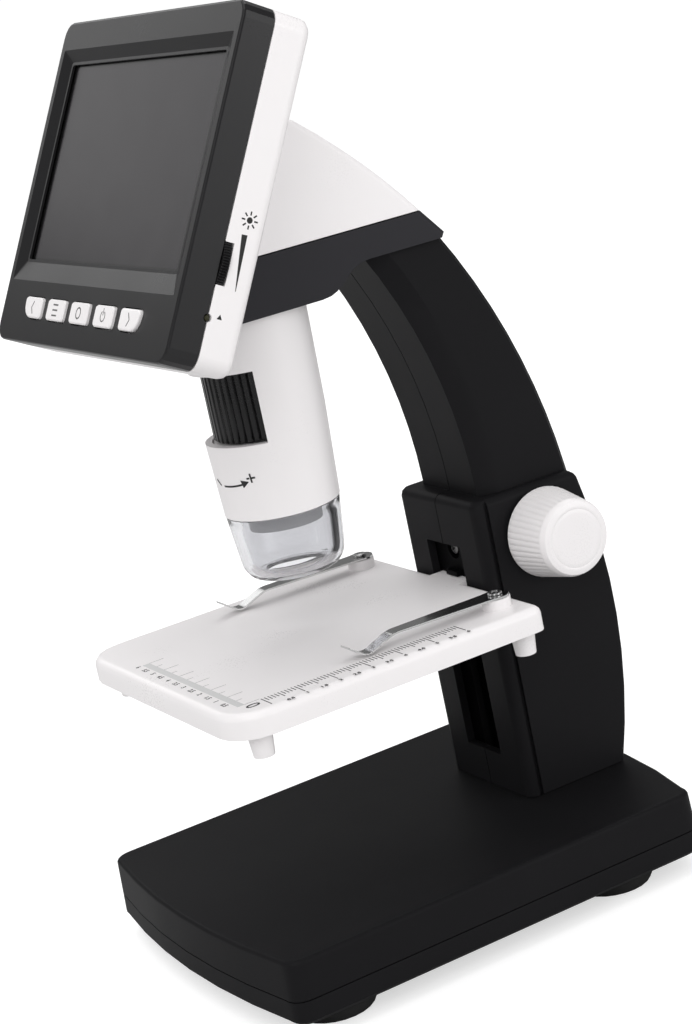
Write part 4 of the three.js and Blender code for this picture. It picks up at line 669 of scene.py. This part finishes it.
# %% Clear cap
low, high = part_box("clear_cap")
cap_low, cap_high = low.z / MM, high.z / MM
spigot, shoulder_at, mouth = 14.0, 125.5, 8.4
outer_wall = [
    (16.1, shoulder_at), (15.7, 121.8), (14.75, 112.6), (14.5, 110.9), (14.15, 109.7),
    (13.4, 108.4), (12.5, 107.4), (11.6, 106.95), (10.8, cap_low),
]
inner_wall = [
    (mouth, 108.6), (9.6, 108.7), (10.5, 109.2), (11.2, 110.1), (11.7, 111.4), (11.9, 112.8),
    (12.75, 121.8), (12.9, 124.1), (13.1, 124.6), (13.1, cap_high),
]
profile = [(spigot, cap_high), (spigot, shoulder_at), *outer_wall, (mouth, cap_low), *inner_wall]
cap = lathe(profile, 96, closed=True)
cap.transform(Matrix.Translation(tube_axis))
finish_piece(cap, "cap", "stand", finishes["clear_plastic"], sharp=28, replaces=["clear_cap"])

# %% [markdown]
# ## Spring clips
#
# Each clip is a polished strip: a round eye under its screw, an arm that narrows towards a soft
# bend, and a toe that touches the stage before the tail turns up again. A curve with a flat bevel
# could follow that path, but the strip's width changes along it. So its side view is worked out
# as a line with rounded corners, and each point of it becomes one row of the strip.

# %% Path of a clip
CLIP_THICK = 0.6 * MM
EYE_RADIUS = 3.9 * MM
EYE_ENDS = 0.44 * EYE_RADIUS  # from here on the arm's straight sides take over from the eye
ARM_WIDEST, ARM_NARROWEST, ARM_NARROWING = 3.5 * MM, 2.1 * MM, 0.043
EYE_HIGH, TAIL_HIGH = 91.6 * MM, 92.7 * MM
BEND = Vector((-9.5, 92.2)) * MM
TOE = Vector((-18.2, 88.7)) * MM
CORNER_REACH = 2.2 * MM


def bent_path(corners, reach, steps):
    """Points along a line through the corners, which are rounded over the given reach."""
    path = [corners[0]]
    for before, corner, after in zip(corners, corners[1:], corners[2:]):
        start = corner + (before - corner).normalized() * reach
        end = corner + (after - corner).normalized() * reach
        for step in range(steps + 1):
            share = step / steps
            path.append(start.lerp(corner, share).lerp(corner.lerp(end, share), share))
    return path + [corners[-1]]


def clip_rows(screw_y, tail_y):
    """Rows of (y, half the width, height), from behind the screw round the eye to the tail."""
    rows = []
    for angle in range(6, 90, 12):
        turn = math.radians(angle)
        rows.append((screw_y + EYE_RADIUS * math.cos(turn), EYE_RADIUS * math.sin(turn), EYE_HIGH))
    corners = [Vector((screw_y, EYE_HIGH)), BEND, TOE, Vector((tail_y, TAIL_HIGH))]
    path = bent_path(corners, CORNER_REACH, 6)
    arm = [corners[0].lerp(path[1], step / 12) for step in range(12)]
    for point in arm + path[1:]:
        away = screw_y - point.x
        half = max(ARM_NARROWEST, ARM_WIDEST - away * ARM_NARROWING)
        if away < EYE_ENDS:
            half = max(half, math.sqrt(EYE_RADIUS ** 2 - away ** 2))
        rows.append((point.x, half, point.y))
    return rows


print("clip path ready")

# %% [markdown]
# ## Strip of a clip
#
# A flat grid has its rows moved onto that path, and one extrusion gives it its thickness. The
# two clips differ only in the side that they stand on.

# %% Spring clips
def spring_clip(side):
    low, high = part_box(f"clip_screw_{side}")
    middle = (low + high) / 2
    rows = clip_rows(middle.y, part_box(f"clip_{side}")[0].y)
    count = len(rows) - 1
    bm = bmesh.new()
    bmesh.ops.create_grid(bm, x_segments=4, y_segments=count, size=1)
    for vert in bm.verts:
        y, half, z = rows[round((1 - vert.co.y) / 2 * count)]
        vert.co = (middle.x + vert.co.x * half, y, z)
    grown = bmesh.ops.extrude_face_region(bm, geom=bm.faces[:])["geom"]
    top = [item for item in grown if isinstance(item, bmesh.types.BMVert)]
    bmesh.ops.translate(bm, verts=top, vec=(0, 0, CLIP_THICK))
    bmesh.ops.recalc_face_normals(bm, faces=bm.faces)
    piece = finish_piece(bm, f"spring_clip_{side}", f"clip_{side}", finishes["spring_steel"],
                         replaces=[f"clip_{side}"])
    round_edges(piece)


for side in ("left", "right"):
    spring_clip(side)

# %% [markdown]
# ## Cross-head screws
#
# Three screw heads show: one on each clip and one inside the column's slot. A boolean could cut
# the cross, but a grid of five by five faces keeps the mesh clean: its middle cross is pushed down
# for the driver, its outer points are moved onto a circle, the top is domed, and the rim is drawn
# down for the side. A head replaces the whole screw of the solid model, so it gets a plain shank
# too.

# %% Screw helper
CROSS_LONG, CROSS_HALF = 0.58, 0.16  # shares of the head's radius
CROSS_DEEP, DOME = 0.55, 0.4  # shares of its height
SIDE_STEPS = (0.35, 0.65)
SHANK_RADIUS = 1.2 * MM


def in_cross(face, radius):
    across, along = sorted(map(abs, face.calc_center_median().xy))
    return across < 0.1 * radius and along < 0.6 * radius


def cross_screw(radius, height, shank_long):
    """A pan-head screw standing on z = 0, with its shank pointing down."""
    bm = bmesh.new()
    bmesh.ops.create_grid(bm, x_segments=5, y_segments=5, size=radius)
    cuts = [share * radius for share in (-1, -CROSS_LONG, -CROSS_HALF, CROSS_HALF, CROSS_LONG, 1)]
    for vert in bm.verts:
        column, row = (round((value / radius + 1) * 2.5) for value in vert.co.xy)
        vert.co.xy = cuts[column], cuts[row]
        if column in (0, 5) or row in (0, 5):
            vert.co = vert.co.normalized() * radius
    arms = [face for face in bm.faces if in_cross(face, radius)]
    rim = [edge for edge in bm.edges if edge.is_boundary]
    sunk = bmesh.ops.extrude_face_region(bm, geom=arms)["geom"]
    bmesh.ops.delete(bm, geom=arms, context="FACES")
    floor = [item for item in sunk if isinstance(item, bmesh.types.BMVert)]
    bmesh.ops.translate(bm, verts=floor, vec=(0, 0, -CROSS_DEEP * height))
    for step in SIDE_STEPS:
        drawn = bmesh.ops.extrude_edge_only(bm, edges=rim)["geom"]
        rim = [item for item in drawn if isinstance(item, bmesh.types.BMEdge)]
        ring = [item for item in drawn if isinstance(item, bmesh.types.BMVert)]
        bmesh.ops.translate(bm, verts=ring, vec=(0, 0, -step * height))
    for vert in bm.verts:
        if vert.co.z > -0.01 * height:
            vert.co.z += DOME * height * (1 - (vert.co.xy.length / radius) ** 2)
    bmesh.ops.contextual_create(bm, geom=rim)
    bmesh.ops.translate(bm, verts=bm.verts, vec=(0, 0, height))
    bmesh.ops.create_cone(
        bm, cap_ends=True, segments=24, radius1=SHANK_RADIUS, radius2=SHANK_RADIUS,
        depth=shank_long, matrix=Matrix.Translation((0, 0, 0.02 * height - shank_long / 2)),
    )
    bmesh.ops.recalc_face_normals(bm, faces=bm.faces)
    return bm


print("screw helper ready")

# %% [markdown]
# ## Seats of the screws
#
# The clip screws stand upright on the stage's bosses, and the slider's screw looks forward out
# of the slot. No two crosses line up, because a real screw stops where it is tight.

# %% Clip screws and the slider's screw
CLIP_SEAT, SLOT_SEAT = 1.1 * MM, 1.6 * MM  # from the solid's end to where the head rests

for side, turn in (("left", 0.5), ("right", 0.2)):
    low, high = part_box(f"clip_screw_{side}")
    screw = cross_screw(radius=2.0 * MM, height=0.6 * MM, shank_long=high.z - low.z - CLIP_SEAT)
    seat = Matrix.Translation(((low.x + high.x) / 2, (low.y + high.y) / 2, high.z - CLIP_SEAT))
    screw.transform(seat @ Matrix.Rotation(turn, 4, "Z"))
    piece = finish_piece(screw, f"clip_screw_head_{side}", "stage", finishes["steel"],
                         replaces=[f"clip_screw_{side}"])
    round_edges(piece)

low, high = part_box("slider_screw")
screw = cross_screw(radius=1.8 * MM, height=1.2 * MM, shank_long=high.y - low.y - SLOT_SEAT)
seat = Matrix.Translation((0, low.y + SLOT_SEAT, (low.z + high.z) / 2))
screw.transform(seat @ Matrix.Rotation(math.pi / 2, 4, "X") @ Matrix.Rotation(0.3, 4, "Z"))
piece = finish_piece(screw, "slot_screw_head", "stage", slot_steel_painted_shade, replaces=["slider_screw"])
round_edges(piece)

# %% [markdown]
# ## Printing
#
# Prints are flat shapes a hair thick that lie on the surface. Strips are cubes scaled to size
# and discs are low cylinders, because a single sheet of faces would flicker against the plastic.
# All are drawn in millimetres.

# %% Strips and discs
PRINT_THICK = 0.03


def laid(x, y, z, turn):
    """The matrix that lays a print at x, y, z in millimetres, turned about the upright."""
    return Matrix.Translation((x * MM, y * MM, z * MM)) @ Matrix.Rotation(turn, 4, "Z")


def strip(bm, x, y, wide, long, turn=0.0, z=0.0, tip=1.0):
    """A printed strip, centred at x, y; its far end narrows to the share tip."""
    cube = bmesh.ops.create_cube(bm, size=1)["verts"]
    for vert in cube:
        if vert.co.y > 0:
            vert.co.x *= tip
    size = Matrix.Diagonal((wide * MM, long * MM, PRINT_THICK * MM, 1))
    bmesh.ops.transform(bm, matrix=laid(x, y, z, turn) @ size, verts=cube)


def spot(bm, x, y, radius, sides=20):
    """A printed disc, or a triangle with three sides."""
    bmesh.ops.create_cone(
        bm, cap_ends=True, segments=sides, radius1=radius * MM, radius2=radius * MM,
        depth=PRINT_THICK * MM, matrix=laid(x, y, 0, 0),
    )


print("strips and discs are", PRINT_THICK, "mm thick")

# %% [markdown]
# ## Printed arcs and numbers
#
# An arc is a small upright rectangle that is spun round the middle. A number starts as a text
# curve, which becomes a mesh before it is moved into place.

# %% Arcs and numbers
FONT_SIZE = 1.4  # a digit is lower than its font's size by this factor
BOLDER = 0.05
DEGREES_PER_STEP = 15


def bow(bm, radius, wide, start, sweep):
    """A printed arc round zero, from a start angle over a sweep in degrees."""
    turn = Matrix.Rotation(math.radians(start), 4, "Z") @ Matrix.Translation((radius * MM, 0, 0))
    size = Matrix.Diagonal((wide * MM, PRINT_THICK * MM, 1, 1))
    upright = Matrix.Rotation(math.pi / 2, 4, "X") @ size
    section = bmesh.ops.create_grid(bm, x_segments=1, y_segments=1, size=0.5)["verts"]
    bmesh.ops.transform(bm, matrix=turn @ upright, verts=section)
    face = section[0].link_faces[0]
    last = bmesh.ops.spin(
        bm, geom=[*face.verts, *face.edges, face], cent=(0, 0, 0), axis=(0, 0, 1), dvec=(0, 0, 0),
        angle=math.radians(sweep), steps=round(sweep / DEGREES_PER_STEP),
    )["geom_last"]
    if sweep == 360:
        ends = [face] + [item for item in last if isinstance(item, bmesh.types.BMFace)]
        bmesh.ops.delete(bm, geom=ends, context="FACES_ONLY")
        bmesh.ops.remove_doubles(bm, verts=bm.verts, dist=0.001 * MM)
    bmesh.ops.recalc_face_normals(bm, faces=bm.faces)


def numeral(bm, text, x, y, z, high, turn=0.0):
    """A printed number, centred at x, y, z."""
    curve = bpy.data.curves.new("numeral", "FONT")
    curve.body = text
    curve.size = high * MM * FONT_SIZE
    curve.extrude = PRINT_THICK * MM / 2
    curve.offset = BOLDER * MM
    curve.align_x = "CENTER"
    curve.align_y = "CENTER"
    curve.resolution_u = 3
    holder = bpy.data.objects.new("numeral", curve)
    scene.collection.objects.link(holder)
    evaluated = holder.evaluated_get(bpy.context.evaluated_depsgraph_get())
    shape = bpy.data.meshes.new_from_object(evaluated)
    bpy.data.objects.remove(holder)
    bpy.data.curves.remove(curve)
    shape.transform(laid(x, y, z, turn))
    bm.from_mesh(shape)
    bpy.data.meshes.remove(shape)


print("arcs and numbers ready")

# %% [markdown]
# ## Rulers on the stage
#
# Two rulers meet at a large zero in the stage's near corner. The one along the right edge has a
# tick for every millimetre; the one along the front has half centimetres over a pale bar.

# %% Stage rulers
RULER_LONG, HALF_CM = 60, 5
stage_top = 88.6 + PRINT_THICK / 2
side_ticks_x, side_numbers_x, side_zero_y = 40.4, 48.2, -51.4
front_ticks_y, front_numbers_y, front_zero_x = -56.0, -59.6, 40.0
long_tick, half_tick, short_tick, tick_wide = 6.3, 4.3, 2.9, 0.27
long_line, short_line, line_wide = 4.4, 1.7, 0.2

ruler = bmesh.new()
for step in range(RULER_LONG + 1):
    reach = long_tick if step % 10 == 0 else half_tick if step % 5 == 0 else short_tick
    strip(ruler, side_ticks_x + reach / 2, side_zero_y + step, reach, tick_wide, z=stage_top)
for half in range(1, RULER_LONG // HALF_CM + 1):
    text = str(half // 2) if half % 2 == 0 else f"{half / 2}"
    along = HALF_CM * half
    numeral(ruler, text, side_numbers_x, side_zero_y + along, stage_top, high=1.3, turn=math.pi / 2)
    numeral(ruler, text, front_zero_x - along, front_numbers_y, stage_top, high=1.5)
numeral(ruler, "0", 42.8, -55.2, stage_top, high=4.0)
finish_piece(ruler, "ruler_print", "stage", black_ink)

lines = bmesh.new()
for half in range(RULER_LONG // HALF_CM + 1):
    reach = long_line if half % 2 == 0 else short_line
    x = front_zero_x - HALF_CM * half
    strip(lines, x, front_ticks_y + reach / 2, line_wide, reach, z=stage_top)
finish_piece(lines, "ruler_lines", "stage", grey_ink)
bar = bmesh.new()
bar_long, bar_wide = RULER_LONG + line_wide, 2.1
strip(bar, front_zero_x - RULER_LONG / 2, -57.1, bar_long, bar_wide, z=stage_top)
finish_piece(bar, "ruler_bar", "stage", pale_ink)

# %% [markdown]
# ## Symbols on the buttons
#
# Each button carries its own print, so the print moves with it: two chevrons at the ends, three
# lines, a plain ring and the usual on-off sign. Few fonts have all of these, so they are drawn
# flat round zero, and one matrix lays them on the button's face.

# %% Button symbols
BUTTONS_UP, BUTTON_FACE = -53.0, 0.9


def chevron(bm, side):
    for end in (-1, 1):
        strip(bm, 0.0, end * 0.85, wide=0.34, long=2.15, turn=end * side * 0.62)


def three_lines(bm):
    for row in (-1.45, 0.0, 1.45):
        strip(bm, 0.0, row, wide=3.3, long=0.42)


def plain_ring(bm):
    bow(bm, radius=1.45, wide=0.4, start=0, sweep=360)


def on_off(bm):
    bow(bm, radius=1.35, wide=0.32, start=120, sweep=300)
    strip(bm, 0.0, 1.2, wide=0.32, long=1.9)


symbols = {
    "left": lambda bm: chevron(bm, -1), "menu": three_lines, "enter": plain_ring, "power": on_off,
    "right": lambda bm: chevron(bm, 1),
}
for name, draw in symbols.items():
    mark = bmesh.new()
    draw(mark)
    low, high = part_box(f"button_{name}")
    middle = (low.x + high.x) / 2 / MM
    mark.transform(screen_frame @ laid(middle, BUTTONS_UP, BUTTON_FACE + PRINT_THICK / 2, 0))
    finish_piece(mark, f"symbol_{name}", f"button_{name}", symbol_ink)

# %% [markdown]
# ## Signs on the screen's side
#
# Beside the thumb wheel a small sun and a wedge say brighter and darker, and a triangle points at
# the reset pin. The drawing plane is turned onto the right side: its x runs to the back.

# %% Side signs
SIDE_FACE = 56.9
SUN_X, SUN_Y, SUN_RAYS, RAY_MIDDLE = 14.0, -23.4, 8, 1.75
WEDGE_Y, WEDGE_LEAN = -34.1, 0.07
TRIANGLE_X, TRIANGLE_Y = 11.9, -48.3

side_frame = screen_frame @ laid(SIDE_FACE, 0, 0, 0) @ Matrix.Rotation(math.pi / 2, 4, "Y")
signs = bmesh.new()
spot(signs, SUN_X, SUN_Y, 0.8)
for ray in range(SUN_RAYS):
    turn = 2 * math.pi * ray / SUN_RAYS
    x, y = SUN_X - RAY_MIDDLE * math.sin(turn), SUN_Y + RAY_MIDDLE * math.cos(turn)
    strip(signs, x, y, wide=0.4, long=1.0, turn=turn)
strip(signs, SUN_X, WEDGE_Y, wide=1.6, long=14.0, turn=math.pi + WEDGE_LEAN, tip=0.1)
spot(signs, TRIANGLE_X, TRIANGLE_Y, 0.85, sides=3)
signs.transform(side_frame)
finish_piece(signs, "side_signs", "stand", black_ink)

# %% [markdown]
# ## Arrow on the tube
#
# A bent arrow and a plus sign show which way the focus wheel turns, and a short line runs the
# other way. They are drawn flat, in short strips, and then rolled onto the tube: a point's x
# becomes an angle and its y a height. A Simple Deform modifier bends too, but not onto a taper.

# %% Tube arrow
LOW_END, LOW_RADIUS = 125.8 * MM, 16.3 * MM
HIGH_END, HIGH_RADIUS = 152.0 * MM, 17.5 * MM
ARROW_HIGH, ARROW_BEND, LOWEST_AT = 135.9, 0.016, 3.0
HEAD_X, HEAD_Y = 10.0, 136.85
PLUS_X, PLUS_Y = 12.0, 138.1


def tube_radius(height):
    """The radius of the tube's lower, tapered part at a height in metres."""
    return LOW_RADIUS + (height - LOW_END) * (HIGH_RADIUS - LOW_RADIUS) / (HIGH_END - LOW_END)


arrow = bmesh.new()
for step in range(10):
    x = 2.2 + 0.72 * step
    aside = x - LOWEST_AT
    y = ARROW_HIGH + ARROW_BEND * aside ** 2
    strip(arrow, x, y, wide=0.82, long=0.52, turn=math.atan(2 * ARROW_BEND * aside))
strip(arrow, HEAD_X, HEAD_Y, wide=2.3, long=2.3, turn=-math.pi / 2 + 0.24, tip=0.04)
for turn in (0.05, math.pi / 2 + 0.05):
    strip(arrow, PLUS_X, PLUS_Y, wide=0.5, long=2.6, turn=turn)
for step in range(3):
    strip(arrow, -0.2 - 0.7 * step, 136.25 + 0.5 * step, wide=0.5, long=0.9, turn=0.95)
for vert in arrow.verts:
    angle = vert.co.x / tube_radius(vert.co.y)
    away = tube_radius(vert.co.y) + vert.co.z + PRINT_THICK * MM / 2
    vert.co = (math.sin(angle) * away, tube_axis.y - math.cos(angle) * away, vert.co.y)
finish_piece(arrow, "tube_arrow", "stand", black_ink)

# %% [markdown]
# ## Floor and light
#
# The photograph was taken in a white room: its floor shows as white, with the shadow of the base
# still on it. A floor could curve up behind the object, but a wide flat one is enough here,
# because floor and room show as the same white.

# %% Floor
bm = bmesh.new()
bmesh.ops.create_grid(bm, x_segments=1, y_segments=1, size=60.0)
mesh = bpy.data.meshes.new("floor")
bm.to_mesh(mesh)
bm.free()
floor = bpy.data.objects.new("floor", mesh)
scene.collection.objects.link(floor)
print("floor", [round(side, 1) for side in floor.dimensions], "m")

# %% [markdown]
# ## Light from the floor and the room
#
# The floor mixes a plain diffuse white, which takes the shadow, with a glow that only the camera
# and clear parts see. Away from the lamps the room is dim, and that is what shiny surfaces
# mirror: it keeps the black plastic black.

# %% Floor and room finishes
AMBIENT = 0.73
MIRRORED = 0.2
FLOOR = 0.6
JUST_WHITE = 1.02
WHITE = (1, 1, 1, 1)


def seen_share(nodes):
    """1 for the rays that show a background: those from the camera or through a clear part."""
    camera_ray = nodes.make("LightPath", output="Is Camera Ray")
    through_ray = nodes.make("LightPath", output="Is Transmission Ray")
    return nodes.make("Math", {0: camera_ray, 1: through_ray}, operation="MAXIMUM")


nodes = new_material("floor_white")
matte = nodes.make("BsdfDiffuse", {"Color": (FLOOR, FLOOR, FLOOR, 1)})
glow = nodes.make("Emission", {"Color": WHITE, "Strength": JUST_WHITE - FLOOR * AMBIENT})
lit = nodes.make("AddShader", {0: matte, 1: glow})
shown = nodes.make("MixShader", {0: seen_share(nodes), 1: matte, 2: lit})
nodes.make("OutputMaterial", {"Surface": shown})
floor.data.materials.append(nodes.owner)

world = bpy.data.worlds.new("studio")
nodes = Nodes(world)
seen = seen_share(nodes)
glossy_ray = nodes.make("LightPath", output="Is Glossy Ray")
strength = AMBIENT + seen * (1 - AMBIENT) - (1 - seen) * glossy_ray * (AMBIENT - MIRRORED)
backdrop = nodes.make("Background", {"Color": WHITE, "Strength": strength})
nodes.make("OutputWorld", {"Surface": backdrop})
scene.world = world
scene.view_settings.view_transform = "Standard"
print("room light", AMBIENT, "and its mirror image", MIRRORED)

# %% [markdown]
# ## Lamps
#
# Soft boxes give the white covers their shading, where a Sun would draw hard shadows. The key and
# the right one light the sides that the camera sees, those on the left and behind light the far
# sides, a narrow one stands in front, and one above lights the level tops.

# %% Lamps
def soft_lamp(name, place, aim_high, wide, high, power):
    """A soft box at a place in metres, aimed at a height over the middle of the base."""
    lamp = bpy.data.lights.new(name, "AREA")
    lamp.shape = "RECTANGLE"
    lamp.size = wide
    lamp.size_y = high
    lamp.energy = power
    holder = bpy.data.objects.new(name, lamp)
    holder.location = place
    towards = Vector((0, 0, aim_high)) - Vector(place)
    holder.rotation_euler = towards.to_track_quat("-Z", "Y").to_euler()
    scene.collection.objects.link(holder)


soft_lamp("key", (1.2, -0.85, 1.15), 0.12, wide=0.9, high=0.9, power=7.8)
soft_lamp("right", (1.35, 1.0, 0.4), 0.15, wide=0.9, high=0.9, power=5.6)
soft_lamp("left", (-1.4, -0.3, 0.84), 0.2, wide=0.8, high=0.62, power=1.2)
soft_lamp("left_high", (-1.4, 0.08, 0.92), 0.15, wide=0.7, high=0.4, power=1.05)
soft_lamp("back_left", (-0.8, 0.6, 1.3), 0.1, wide=0.9, high=0.9, power=3.6)
soft_lamp("front", (-0.45, -1.5, 0.35), 0.1, wide=0.14, high=1.0, power=2.2)
soft_lamp("top", (0.1, -0.2, 1.5), 0.1, wide=1.0, high=1.0, power=4.0)
